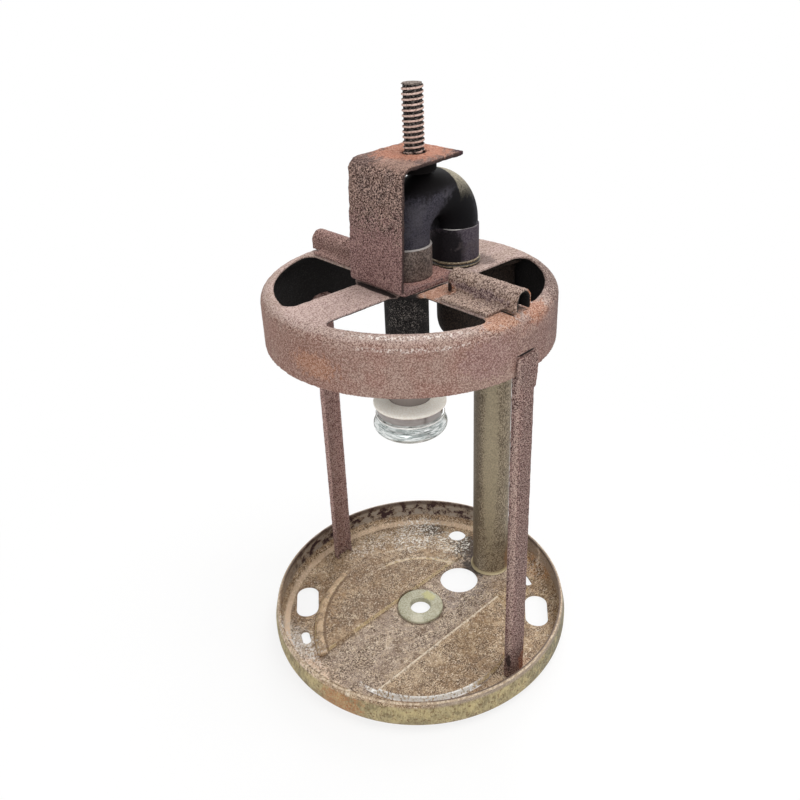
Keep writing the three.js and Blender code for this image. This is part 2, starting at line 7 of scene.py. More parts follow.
import logging
from dataclasses import dataclass, field
from enum import Enum
from itertools import pairwise
from math import acos, asin, atan2, cos, degrees, dist, pi, radians, sin, sqrt, tau
from typing import Any, Callable, Iterable, Sequence

import bmesh
import bpy
from bpy.types import Material, NodeSocket, NodeTree, Object
from mathutils import Matrix, Vector

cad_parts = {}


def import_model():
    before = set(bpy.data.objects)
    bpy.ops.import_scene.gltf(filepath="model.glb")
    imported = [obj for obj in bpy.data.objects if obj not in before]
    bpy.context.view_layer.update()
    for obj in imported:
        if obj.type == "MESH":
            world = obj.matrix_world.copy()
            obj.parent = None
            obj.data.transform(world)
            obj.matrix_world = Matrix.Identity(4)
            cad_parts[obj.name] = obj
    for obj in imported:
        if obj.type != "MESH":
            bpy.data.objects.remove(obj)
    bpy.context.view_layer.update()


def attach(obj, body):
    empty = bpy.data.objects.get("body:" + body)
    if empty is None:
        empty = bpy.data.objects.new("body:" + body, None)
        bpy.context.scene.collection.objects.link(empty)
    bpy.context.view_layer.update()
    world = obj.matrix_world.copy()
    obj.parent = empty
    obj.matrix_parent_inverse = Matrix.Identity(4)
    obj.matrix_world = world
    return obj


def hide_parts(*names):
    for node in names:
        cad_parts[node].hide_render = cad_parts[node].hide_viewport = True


LOG = logging.getLogger("burner_frame")
MM = 0.001
WELD = 0.002 * MM
STEEP = 0.9
ROUND = 96
STUD_ROUND = 64
TURNED_EDGE = 40.0
RUSTED_EDGE = 80.0
GRAIN_SPREAD = 0.075

Point2 = tuple[float, float]
Point3 = tuple[float, float, float]
Colour = tuple[int, int, int]

# Colours of painted shade: near black, with a dull grey on the grain's tops.
PAINTED_SHADE_BLACK: Colour = (14, 11, 11)
PAINTED_SHADE_SPECK: Colour = (30, 25, 24)

GROUND = 0.1
LEG_TURN = 1.6
AIR_PLACE: Point2 = (34.19, -2.33)
INLET_PLACE: Point2 = (19.7, 0.0)
DOWN_PLACE: Point2 = (-0.9, 0.6)
SLEEVE_PLACE: Point2 = (18.65, 0.0)


def arc(centre: Point2, radius: float, start: float, end: float, steps: int) -> list[Point2]:
    """Points along an arc.

    Args:
        centre: The arc's centre.
        radius: Its radius.
        start: The angle it starts at, in degrees.
        end: The angle it ends at, in degrees.
        steps: How many steps it has.

    Returns:
        The points, both ends among them.
    """
    turn = [radians(start + (end - start) * step / steps) for step in range(steps + 1)]
    return [(centre[0] + radius * cos(a), centre[1] + radius * sin(a)) for a in turn]


def circle(centre: Point2, radius: float) -> list[Point2]:
    """A round outline with a point every five degrees."""
    return arc(centre, radius, 0, 355, 71)


def oval_arc(centre: Point2, radii: Point2, angles: Iterable[float]) -> list[Point2]:
    """Points on an upright oval, at angles in degrees."""
    turns = [radians(angle) for angle in angles]
    return [(centre[0] + radii[0] * cos(a), centre[1] + radii[1] * sin(a))
            for a in turns]


def angle_of(x: float, y: float) -> float:
    """The direction of a point from the origin, in degrees."""
    return degrees(atan2(y, x))


def at_height(outline: Iterable[Point2], height: float) -> list[Point3]:
    """An outline in X and Y, laid at a height."""
    return [(x, y, height) for x, y in outline]


def bent_strip(corners: Sequence[Point2], sheet: float, bends: Sequence[float],
               steps: int) -> list[Point2]:
    """The section of a strip bent to the right at each inner corner.

    Args:
        corners: The corners of its outer face, before bending.
        sheet: Its thickness.
        bends: The outer radius of each bend.
        steps: How many steps each bend has.

    Returns:
        The closed section, outer face first.
    """
    places = [Vector(corner) for corner in corners]
    ways = [(end - start).normalized() for start, end in pairwise(places)]
    sides = [Vector((way.y, -way.x)) for way in ways]
    outer = [tuple(places[0])]
    inner = [tuple(places[0] + sides[0] * sheet)]
    for place, before, after, bend in zip(places[1:-1], sides, sides[1:], bends):
        centre = place + (before + after) * (bend / (1 + before.dot(after)))
        start = angle_of(-before.x, -before.y)
        end = start - degrees(acos(before.dot(after)))
        outer += arc(tuple(centre), bend, start, end, steps)
        inner += arc(tuple(centre), bend - sheet, start, end, steps)
    outer.append(tuple(places[-1]))
    inner.append(tuple(places[-1] + sides[-1] * sheet))
    return outer + inner[::-1]


def rounded_box(width: float, height: float, corner: float, steps: int = 8) -> list[Point2]:
    """A rectangle about the origin with round corners."""
    x = width / 2 - corner
    y = height / 2 - corner
    return [point for place, start in (((x, y), 0), ((-x, y), 90), ((-x, -y), 180), ((x, -y), 270))
            for point in arc(place, corner, start, start + 90, steps)]


def turned(outline: Iterable[Point2], angle: float, shift: Point2 = (0, 0)) -> list[Point2]:
    """An outline moved by a shift, and then turned about the origin by an angle in degrees."""
    cosine = cos(radians(angle))
    sine = sin(radians(angle))
    moved = [(x + shift[0], y + shift[1]) for x, y in outline]
    return [(x * cosine - y * sine, x * sine + y * cosine) for x, y in moved]


class Joinery(Enum):
    """What one solid does to another."""

    UNITE = "UNION"
    TAKE_AWAY = "DIFFERENCE"
    KEEP_COMMON = "INTERSECT"


class Bench:
    """The modelling tools, used as by hand."""

    @staticmethod
    def take(*pieces: Object) -> None:
        """Selects only these pieces, the first as the active one."""
        bpy.ops.object.select_all(action="DESELECT")
        for piece in pieces:
            piece.select_set(True)
        bpy.context.view_layer.objects.active = pieces[0]

    @classmethod
    def edit(cls, piece: Object) -> None:
        """Opens a piece in edit mode with all of it selected."""
        cls.take(piece)
        bpy.ops.object.mode_set(mode="EDIT")
        bpy.ops.mesh.select_all(action="SELECT")

    @staticmethod
    def done() -> Object:
        """Leaves edit mode and settles the piece's place into its mesh.

        Returns:
            The piece.
        """
        bpy.ops.object.mode_set(mode="OBJECT")
        bpy.ops.object.transform_apply(location=True, rotation=True, scale=True)
        return bpy.context.active_object

    @staticmethod
    def pick_faces(test: Callable[[Any], bool]) -> None:
        """Selects the faces of the piece in edit mode that pass a test."""
        bpy.ops.mesh.select_mode(type="FACE")
        mesh = bpy.context.active_object.data
        cage = bmesh.from_edit_mesh(mesh)
        for face in cage.faces:
            face.select_set(test(face))
        cage.select_flush_mode()
        bmesh.update_edit_mesh(mesh)

    @staticmethod
    def weld() -> None:
        """Merges the doubles of the piece in edit mode."""
        bpy.ops.mesh.select_all(action="SELECT")
        bpy.ops.mesh.remove_doubles(threshold=WELD)

    @classmethod
    def face_out(cls) -> Object:
        """Points the faces of the piece in edit mode outwards, and leaves edit mode."""
        bpy.ops.mesh.select_all(action="SELECT")
        bpy.ops.mesh.normals_make_consistent(inside=False)
        return cls.done()

    @classmethod
    def close(cls) -> Object:
        """Fills the open ends of the piece in edit mode, and leaves edit mode."""
        bpy.ops.mesh.select_all(action="SELECT")
        bpy.ops.mesh.fill_holes(sides=0)
        return cls.face_out()

    @staticmethod
    def pull(way: Vector) -> None:
        """Extrudes what is selected by a way in millimetres."""
        bpy.ops.mesh.extrude_region_move(TRANSFORM_OT_translate={"value": tuple(way * MM)})

    @classmethod
    def draw(cls, points: Sequence[Point3], closed: bool) -> None:
        """Draws a chain of edges through points, and leaves it selected in edit mode.

        Args:
            points: The points, in order.
            closed: Whether the last one joins the first.
        """
        bpy.ops.object.select_all(action="DESELECT")
        bpy.ops.mesh.primitive_plane_add(size=MM, location=Vector(points[0]) * MM)
        bpy.ops.object.mode_set(mode="EDIT")
        bpy.ops.mesh.select_mode(type="VERT")
        bpy.ops.mesh.select_all(action="SELECT")
        bpy.ops.mesh.merge(type="CENTER")
        route = [Vector(point) for point in points]
        for start, end in pairwise(route + route[:1] if closed else route):
            cls.pull(end - start)
        cls.weld()
        bpy.ops.mesh.select_all(action="SELECT")

    @classmethod
    def slab(cls, outline: Sequence[Point3], way: Point3) -> Object:
        """A closed outline filled and extruded along a way."""
        cls.draw(outline, closed=True)
        bpy.ops.mesh.edge_face_add()
        cls.pull(Vector(way))
        return cls.face_out()

    @classmethod
    def upright(cls, outline: Iterable[Point2], low: float, height: float) -> Object:
        """An outline in X and Y, extruded upwards from a height."""
        return cls.slab(at_height(outline, low), (0, 0, height))

    @classmethod
    def lying(cls, outline: Iterable[Point2], start: float, depth: float) -> Object:
        """An outline in X and Z, extruded along +Y from a start."""
        return cls.slab([(x, start, z) for x, z in outline], (0, depth, 0))

    @classmethod
    def spun(cls, profile: Sequence[Point2], steps: int,
             place: Point2 = (0, 0)) -> Object:
        """A closed profile of radius and height, spun round an upright line.

        Args:
            profile: The radii and heights.
            steps: How many steps the round has.
            place: Where the line stands, in X and Y.

        Returns:
            The piece.
        """
        cls.draw([(place[0] + radius, place[1], height) for radius, height in profile], closed=True)
        bpy.ops.mesh.spin(steps=steps, angle=tau, center=(place[0] * MM, place[1] * MM, 0),
                          axis=(0, 0, 1))
        cls.weld()
        bpy.ops.mesh.dissolve_degenerate(threshold=WELD)
        bpy.ops.mesh.delete_loose(use_verts=True, use_edges=True, use_faces=False)
        return cls.face_out()

    @classmethod
    def loft(cls, outlines: Sequence[Sequence[Point3]]) -> Object:
        """A solid stretched through closed outlines that have as many points each."""
        rings = []
        for outline in outlines:
            cls.draw(outline, closed=True)
            rings.append(cls.done())
        cls.edit(cls.gather(rings))
        bpy.ops.mesh.bridge_edge_loops()
        return cls.close()

    @classmethod
    def rod(cls, radius: float, low: float, high: float, place: Point2) -> Object:
        """An upright round bar."""
        return cls.spun([(0, low), (radius, low), (radius, high), (0, high)], ROUND, place)

    @classmethod
    def apply(cls, piece: Object, kind: str, **settings: Any) -> None:
        """Adds a modifier with its settings and applies it."""
        cls.take(piece)
        modifier = piece.modifiers.new(kind.title(), kind)
        for name, value in settings.items():
            setattr(modifier, name, value)
        bpy.ops.object.modifier_apply(modifier=modifier.name)

    @classmethod
    def fit(cls, piece: Object, tool: Object, how: Joinery) -> None:
        """Joins a tool to a piece in one of the ways, and clears the tool away."""
        cls.apply(piece, "BOOLEAN", object=tool, operation=how.value, solver="MANIFOLD")
        bpy.data.objects.remove(tool)

    @classmethod
    def unite(cls, piece: Object, *tools: Object) -> None:
        """Unites a piece with tools, one after the other."""
        for tool in tools:
            cls.fit(piece, tool, Joinery.UNITE)

    @classmethod
    def cut(cls, piece: Object, *tools: Object) -> None:
        """Takes tools out of a piece, one after the other."""
        for tool in tools:
            cls.fit(piece, tool, Joinery.TAKE_AWAY)

    @classmethod
    def gather(cls, pieces: Sequence[Object]) -> Object:
        """Joins pieces that don't touch into one object."""
        cls.take(*pieces)
        bpy.ops.object.join()
        return bpy.context.active_object

    @classmethod
    def move(cls, piece: Object, turn: float = 0, shift: Point3 = (0, 0, 0)) -> None:
        """Turns a piece about the upright line through the origin, then shifts it."""
        piece.matrix_world = (Matrix.Translation(Vector(shift) * MM)
                              @ Matrix.Rotation(radians(turn), 4, "Z"))
        cls.take(piece)
        bpy.ops.object.transform_apply(location=True, rotation=True, scale=True)

    @classmethod
    def rust_over(cls, piece: Object, cell: float, grain: float, depth: float) -> None:
        """Covers a piece evenly with small faces and roughens them with lumps, as rust does.

        Args:
            piece: The piece.
            cell: The size of the faces.
            grain: The size of the lumps.
            depth: How far they rise and fall.
        """
        cls.apply(piece, "REMESH", mode="VOXEL", voxel_size=cell * MM, adaptivity=0)
        lumps = bpy.data.textures.new("rust_lumps", "CLOUDS")
        lumps.noise_scale = grain * MM
        lumps.noise_depth = 1
        cls.apply(piece, "DISPLACE", texture=lumps, texture_coords="LOCAL", strength=depth * MM,
                  mid_level=0.5)

    @classmethod
    def smooth(cls, piece: Object, limit: float) -> None:
        """Shades a piece smooth, apart from edges sharper than a limit."""
        cls.take(piece)
        bpy.ops.object.shade_smooth_by_angle(angle=radians(limit))


class Sock:
    """A socket of a shader tree that takes arithmetic."""

    def __init__(self, recipe: "Recipe", socket: NodeSocket) -> None:
        """Wraps a socket of a recipe's tree."""
        self.recipe = recipe
        self.socket = socket

    def _math(self, operation: str, *values: "Sock | float") -> "Sock":
        """A Math node on some values."""
        return self.recipe.node("ShaderNodeMath", {"operation": operation}, dict(enumerate(values)))

    def __add__(self, other: "Sock | float") -> "Sock":
        """The sum."""
        return self._math("ADD", self, other)

    __radd__ = __add__

    def __sub__(self, other: "Sock | float") -> "Sock":
        """The difference."""
        return self._math("SUBTRACT", self, other)

    def __rsub__(self, other: float) -> "Sock":
        """A number less this."""
        return self._math("SUBTRACT", other, self)

    def __mul__(self, other: "Sock | float") -> "Sock":
        """The product."""
        return self._math("MULTIPLY", self, other)

    def __abs__(self) -> "Sock":
        """The size without the sign."""
        return self._math("ABSOLUTE", self)

    def __pow__(self, other: float) -> "Sock":
        """A power."""
        return self._math("POWER", self, other)

    def over(self, other: "Sock | float") -> "Sock":
        """The greater of two."""
        return self._math("MAXIMUM", self, other)

    def step(self, low: float, high: float) -> "Sock":
        """A soft step from 0 at low to 1 at high, or back where high is the lesser."""
        rising = high > low
        values = {0: self, 1: min(low, high), 2: max(low, high), 3: 0.0 if rising else 1.0,
                  4: 1.0 if rising else 0.0}
        return self.recipe.node("ShaderNodeMapRange", {"interpolation_type": "SMOOTHSTEP"}, values)


def paint(colour: Colour) -> tuple[float, float, float, float]:
    """A colour of 0 to 255 in each channel as Blender's linear light."""
    shares = [channel / 255 for channel in colour]
    linear = [s / 12.92 if s <= 0.04045 else ((s + 0.055) / 1.055) ** 2.4 for s in shares]
    return (linear[0], linear[1], linear[2], 1.0)


class Recipe:
    """A material under the brush: its tree, and the patterns that finishes are mixed from."""

    def __init__(self, name: str) -> None:
        """Starts a material by its name."""
        self.material = bpy.data.materials.new(name)
        self.material.use_nodes = True
        self.tree = self.material.node_tree
        self.shader = self.tree.nodes["Principled BSDF"]
        self.place = self.node("ShaderNodeTexCoord", output="Object")
        split = self.tree.nodes.new("ShaderNodeSeparateXYZ")
        self.tree.links.new(self.place.socket, split.inputs[0])
        self.x, self.y, self.z = (Sock(self, out) * (1 / MM) for out in split.outputs)
        self.rag = self.noise(1.4, 3.0, 0.65, shift=0.43) - 0.5

    def node(self, kind: str, settings: dict[str, Any] | None = None,
             values: dict[int | str, Any] | None = None, output: int | str = 0) -> Sock:
        """Any node of the tree.

        Args:
            kind: Its type.
            settings: Its own settings, set first.
            values: Values or links of its sockets, by number or name.
            output: The output that is handed back.

        Returns:
            That output.
        """
        made = self.tree.nodes.new(kind)
        for name, value in (settings or {}).items():
            setattr(made, name, value)
        self.fill(made, values or {})
        return Sock(self, made.outputs[output])

    def fill(self, node: Any, values: dict[int | str, Any]) -> None:
        """Sets or links a node's sockets, by number or name."""
        for key, value in values.items():
            if isinstance(value, Sock):
                self.tree.links.new(value.socket, node.inputs[key])
            else:
                node.inputs[key].default_value = value

    def cover(self, patch: "Patch") -> Sock:
        """How far a patch covers each place, from 0 to its strength."""
        away = self.place
        for operation, way in (("SUBTRACT", patch.centre), ("DIVIDE", patch.reach)):
            away = self.node("ShaderNodeVectorMath", {"operation": operation},
                             {0: away, 1: tuple(Vector(way) * MM)})
        length = self.node("ShaderNodeVectorMath", {"operation": "LENGTH"}, {0: away},
                           output="Value")
        return (length + self.rag * patch.ragged).step(1.0, 0.6) * patch.strength

    def patched(self, tone: Sock, patches: Iterable["Patch"]) -> Sock:
        """A tone with patches laid on it, one on the other."""
        return self.layered(tone, *((self.cover(patch), patch.colour) for patch in patches))

    def layered(self, tone: Sock, *layers: tuple[Sock, Colour]) -> Sock:
        """A tone with colours laid on it in order, each by its share."""
        for share, colour in layers:
            tone = self.mix(share, tone, colour)
        return tone

    def speckle(self, grain: float) -> Sock:
        """A crisp grain of two sizes about a half."""
        coarse = self.noise(grain, 2.0, 0.7)
        return coarse * 0.6 + self.noise(grain * 0.5, 1.0, 0.5, shift=0.07) * 0.4

    def grained(self, tone: Sock | Colour, height: Sock, shade: Colour,
                shade_share: Sock | float, pale: Sock | Colour,
                pale_share: Sock | float) -> Sock:
        """A tone darkened in the hollows of a grain and lightened on its tops.

        Args:
            tone: The tone.
            height: The grain, about a half.
            shade: The colour that multiplies it in the hollows.
            shade_share: How much of that.
            pale: The colour of the tops.
            pale_share: How much of that.

        Returns:
            The grained tone.
        """
        hollows = height.step(0.5, 0.5 - GRAIN_SPREAD) * shade_share
        tops = height.step(0.5, 0.5 + GRAIN_SPREAD) * pale_share
        return self.mix(tops, self.mix(hollows, tone, shade, "MULTIPLY"), pale)

    def radius(self, centre: Point2 = (0, 0)) -> Sock:
        """The distance from an upright line, in millimetres."""
        across = self.x - centre[0]
        along = self.y - centre[1]
        return (across * across + along * along) ** 0.5

    def noise(self, grain: float, detail: float = 2.0, roughness: float = 0.5,
              stretch: Point3 = (1, 1, 1), shift: float = 0) -> Sock:
        """A cloudy pattern about a half.

        Args:
            grain: The size of its clouds in millimetres.
            detail: How many finer layers it has.
            roughness: How strong they are.
            stretch: How the pattern is squeezed along each axis.
            shift: How far it is moved, in metres.

        Returns:
            The pattern.
        """
        where = self.node("ShaderNodeMapping", None,
                          {"Vector": self.place, "Location": (shift, shift, shift),
                           "Scale": stretch})
        return self.node("ShaderNodeTexNoise", None,
                         {"Vector": where, "Scale": 1 / (grain * MM), "Detail": detail,
                          "Roughness": roughness})

    def mix(self, share: Sock | float, first: "Sock | Colour", second: "Sock | Colour",
            blend: str = "MIX") -> Sock:
        """Two colours mixed by a share from 0, the first, to 1, the second or their product."""
        ends = [value if isinstance(value, Sock) else paint(value) for value in (first, second)]
        return self.node("ShaderNodeMix", {"data_type": "RGBA", "blend_type": blend},
                         {0: share, 6: ends[0], 7: ends[1]}, output=2)

    def relief(self, height: Sock, depth: float) -> Sock:
        """A bump of a pattern from 0 to 1, with a depth in millimetres."""
        return self.node("ShaderNodeBump", None,
                         {"Height": height, "Distance": depth * MM, "Strength": 1.0})

    def finish(self, colour: "Sock | Colour", roughness: Sock | float, metallic: Sock | float = 0.0,
               normal: Sock | None = None, **fixed: Any) -> Material:
        """Sets the shader's sockets.

        Args:
            colour: The base colour.
            roughness: The roughness.
            metallic: How metallic it is.
            normal: The bumped normal.
            fixed: Other sockets by name, with underscores for spaces.

        Returns:
            The material.
        """
        ready = {"Base Color": colour if isinstance(colour, Sock) else paint(colour),
                 "Roughness": roughness, "Metallic": metallic}
        if normal is not None:
            ready["Normal"] = normal
        ready |= {name.replace("_", " "): value for name, value in fixed.items()}
        self.fill(self.shader, ready)
        return self.material


@dataclass(frozen=True)
class Patch:
    """A patch of another colour with a ragged edge."""

    centre: Point3
    reach: Point3
    colour: Colour
    strength: float = 1.0
    ragged: float = 1.0


@dataclass(frozen=True)
class RustedSteel:
    """Steel under a fine scale of old rust, with tints under the grain and marks on it; some tints
    and marks are painted light and shade, and a finish may add painted shade.
    """

    name: str
    body: Colour = (128, 104, 96)
    second: Colour = (116, 98, 86)
    shade: Colour = (104, 92, 88)
    pale: Colour = (206, 188, 168)
    grain: float = 0.5
    shade_share: float = 0.95
    pale_share: float = 0.6
    bump: float = 0.16
    tints: tuple[Patch, ...] = ()
    stains_and_painted_light: tuple[Patch, ...] = ()

    def ground(self, recipe: Recipe) -> Sock:
        """The colour under the grain."""
        broad = recipe.noise(7.0, 3.0, 0.55, shift=0.13)
        return recipe.mix(broad.step(0.38, 0.62), self.body, self.second)

    def strength(self, recipe: Recipe) -> Sock | float:
        """How strong its grain is."""
        return 1.0

    def tops(self, recipe: Recipe) -> Sock | Colour:
        """The colour of the grain's tops."""
        return self.pale

    def painted_shade(self, recipe: Recipe) -> Sock | None:
        """Where painted shade darkens it, if anywhere."""
        return None

    def top_coat(self, recipe: Recipe, tone: Sock) -> Sock:
        """What lies on the grain."""
        return recipe.patched(tone, self.stains_and_painted_light)

    def make(self) -> Material:
        """Mixes the finish."""
        recipe = Recipe(self.name)
        height = recipe.speckle(self.grain)
        tone = recipe.patched(self.ground(recipe), self.tints)
        strength = self.strength(recipe)
        tone = recipe.grained(tone, height, self.shade, strength * self.shade_share,
                              self.tops(recipe), strength * self.pale_share)
        # Painted shade: the finish's shade mask darkens its hollows and undersides to near black.
        painted_shade = self.painted_shade(recipe)
        if painted_shade is not None:
            tone = recipe.mix(painted_shade, tone, recipe.mix(height.step(0.5, 0.62) * 0.5, PAINTED_SHADE_BLACK, PAINTED_SHADE_SPECK))
        tone = self.top_coat(recipe, tone)
        normal = recipe.relief(height, self.bump)
        return recipe.finish(tone, 0.92 - height.step(0.5, 0.62) * 0.2, 0.0, normal,
                             Specular_IOR_Level=0.3)


@dataclass(frozen=True)
class RingScale(RustedSteel):
    """The ring's scale, with painted shade on its inside and painted highlights along its front
    edge.
    """

    web: Colour = (180, 157, 150)
    web_second: Colour = (170, 148, 138)
    shoulder: Point2 = (38.6, 121.4)
    mid_sheet: float = 2.9
    # Painted highlight: its place and colour.
    painted_glint: Patch = Patch((-27.5, -28.5, 123.2), (21, 18, 4), (242, 234, 228))

    def ground(self, recipe: Recipe) -> Sock:
        """Pinkish grey on the web, browner on the hoop's side."""
        flat = (recipe.z + recipe.rag).step(122.8, 124.3)
        broad = recipe.noise(5.0, 3.0, 0.6, shift=0.33).step(0.4, 0.6)
        return recipe.mix(flat, super().ground(recipe),
                          recipe.mix(broad, self.web, self.web_second))

    def strength(self, recipe: Recipe) -> Sock:
        """Calmer on the hoop's side."""
        return recipe.z.step(121.0, 123.0) * 0.3 + 0.7

    def painted_shade(self, recipe: Recipe) -> Sock:
        """Painted shade over everything on the inner side of the sheet."""
        out = (recipe.radius() - self.shoulder[0]).over(0.0)
        up = (recipe.z - self.shoulder[1]).over(0.0)
        return ((out * out + up * up) ** 0.5).step(self.mid_sheet + 0.05, self.mid_sheet - 0.2)

    def top_coat(self, recipe: Recipe, tone: Sock) -> Sock:
        """Marks and painted shade, then painted highlights in flecks where the front edge turns
        over.
        """
        # Painted highlight: pale flecks along the front top edge and along the shoulder's lower
        # turn.
        flecks = recipe.noise(0.55, 3.0, 0.7, shift=0.51).step(0.52, 0.6)
        radius = recipe.radius()
        edge = radius.step(38.9, 39.5) * radius.step(40.9, 40.3)
        turn = recipe.z.step(121.2, 121.7) * recipe.z.step(122.7, 122.2) * radius.step(41.2, 41.6)
        tone = recipe.patched(tone, self.stains_and_painted_light)
        pale_mark = recipe.cover(self.painted_glint) * flecks * (edge * 0.8 + turn * 0.6)
        return recipe.mix(pale_mark, tone, self.painted_glint.colour)


@dataclass(frozen=True)
class BracketScale(RustedSteel):
    """The bracket's scale: olive brown above, mauve below, with painted shade on its inner side and
    on the sheet's edge face.
    """

    lower: Colour = (134, 101, 98)
    lower_pale: Colour = (194, 162, 154)
    wall_foot: Point2 = (-13.0, 124.9)
    wall_head: Point2 = (-11.1, 159.0)
    flange_slope: float = 1.0 / 22.5
    bend: float = 3.4

    def below_top(self, recipe: Recipe) -> Sock:
        """How far a place is below the flange's top."""
        return (recipe.x - self.wall_head[0]) * self.flange_slope + self.wall_head[1] - recipe.z

    def depth_in(self, recipe: Recipe) -> Sock:
        """How far a place is in from the outer face of the wall, the bend and the flange."""
        lean = (self.wall_head[0] - self.wall_foot[0]) / (self.wall_head[1] - self.wall_foot[1])
        wall = recipe.x - self.wall_foot[0] - (recipe.z - self.wall_foot[1]) * lean
        across = (self.bend - wall).over(0.0)
        up = (self.bend - self.below_top(recipe)).over(0.0)
        return self.bend - (across * across + up * up) ** 0.5

    @staticmethod
    def high(recipe: Recipe) -> Sock:
        """0 towards the foot and 1 in its upper half, with a ragged change."""
        return (recipe.z + recipe.rag * 30.0).step(137.0, 149.0)

    def ground(self, recipe: Recipe) -> Sock:
        """Mauve towards the foot."""
        return recipe.mix(self.high(recipe), self.lower, super().ground(recipe))

    def tops(self, recipe: Recipe) -> Sock:
        """Pinker towards the foot."""
        return recipe.mix(self.high(recipe), self.lower_pale, self.pale)

    def strength(self, recipe: Recipe) -> Sock:
        """Calmer towards the foot and on the flange."""
        flat = self.below_top(recipe).step(1.6, 0.5)
        return 1.0 - flat * 0.5 - (1.0 - self.high(recipe)) * 0.25

    def painted_shade(self, recipe: Recipe) -> Sock:
        """Painted shade on the inner side of the wall and flange."""
        return self.depth_in(recipe).step(0.65, 1.0) * recipe.z.step(126.7, 128.2) * 0.95

    def top_coat(self, recipe: Recipe, tone: Sock) -> Sock:
        """Marks, and painted shade on the edge face of the sheet."""
        # Painted shade: the strip's edge face is painted dark.
        edge = (abs(recipe.y) + recipe.rag).step(10.1, 10.4) * self.depth_in(recipe).step(0.1, 0.4)
        edge = edge * recipe.z.step(125.5, 126.5)
        return recipe.patched(recipe.mix(edge * 0.85, tone, (50, 36, 34)), self.stains_and_painted_light)


@dataclass(frozen=True)
class SaddleScale(RustedSteel):
    """A saddle's scale, with painted shade in its tunnel."""

    axis: Point2 = (2.3, 128.0)
    bore: float = 2.0

    def painted_shade(self, recipe: Recipe) -> Sock:
        """Painted shade on the tunnel's wall."""
        across = recipe.x - self.axis[0]
        up = (recipe.z - self.axis[1]).over(0.0)
        return ((across * across + up * up) ** 0.5).step(self.bore + 0.7, self.bore + 0.35)


@dataclass(frozen=True)
class StudScale:
    """A thread with pale pinkish crests and black grooves, and painted shade where it stands in the
    flange's hole and under it.
    """

    name: str = "stud_scale"
    crest: Colour = (214, 184, 172)
    flank: Colour = (84, 60, 52)
    groove: Colour = (11, 8, 8)
    top: Colour = (150, 138, 130)
    axis: Point2 = (3.3, 0.0)
    groove_radius: float = 2.78
    crest_radius: float = 2.91
    foot: float = 160.3
    head: float = 177.2

    def make(self) -> Material:
        """Mixes the finish."""
        recipe = Recipe(self.name)
        grain = recipe.speckle(0.5)
        out = recipe.radius(self.axis) + recipe.rag * 0.2
        tone = recipe.mix(out.step(self.groove_radius, self.crest_radius - 0.06), self.groove,
                          self.flank)
        tone = recipe.mix(out.step(self.crest_radius - 0.1, self.crest_radius), tone, self.crest)
        tone = recipe.grained(tone, grain, (120, 104, 98), 0.6, (232, 216, 208), 0.2)
        end = recipe.z.step(self.head - 0.25, self.head)
        tone = recipe.mix(end, tone, recipe.mix(grain.step(0.42, 0.55), (62, 52, 48), self.top))
        # Painted shade: black where the stud stands in the flange's hole and under it.
        low = (recipe.z + recipe.rag * 3.0).step(self.foot, self.foot - 0.9)
        tone = recipe.mix(low, tone, (10, 7, 7))
        return recipe.finish(tone, 0.9, 0.0, recipe.relief(grain, 0.06), Specular_IOR_Level=0.15)


@dataclass(frozen=True)
class SootedTube:
    """Drawn tube gone dark by heat, with flakes and marks, some of the marks painted light and
    shade.
    """

    name: str
    body: Colour = (38, 35, 37)
    second: Colour = (52, 48, 50)
    flake: Colour = (132, 124, 120)
    flaking: float = 0.0
    flake_size: float = 0.95
    stains_and_painted_light: tuple[Patch, ...] = ()

    def make(self) -> Material:
        """Mixes the finish."""
        recipe = Recipe(self.name)
        skin = recipe.speckle(0.5)
        tone = recipe.mix(skin.step(0.42, 0.58), self.body, self.second)
        tone = recipe.patched(tone, self.stains_and_painted_light)
        thickly = recipe.noise(6.0, 2.0, 0.5, shift=0.11).step(0.42, 0.66)
        scabs = recipe.noise(self.flake_size, 3.0, 0.7, shift=0.23)
        flakes = scabs.step(0.545, 0.6) * thickly * self.flaking
        tone = recipe.mix(flakes, tone, self.flake)
        normal = recipe.relief(skin * 0.6 + scabs * 0.4, 0.12)
        return recipe.finish(tone, 0.75, 0.0, normal, Specular_IOR_Level=0.12)


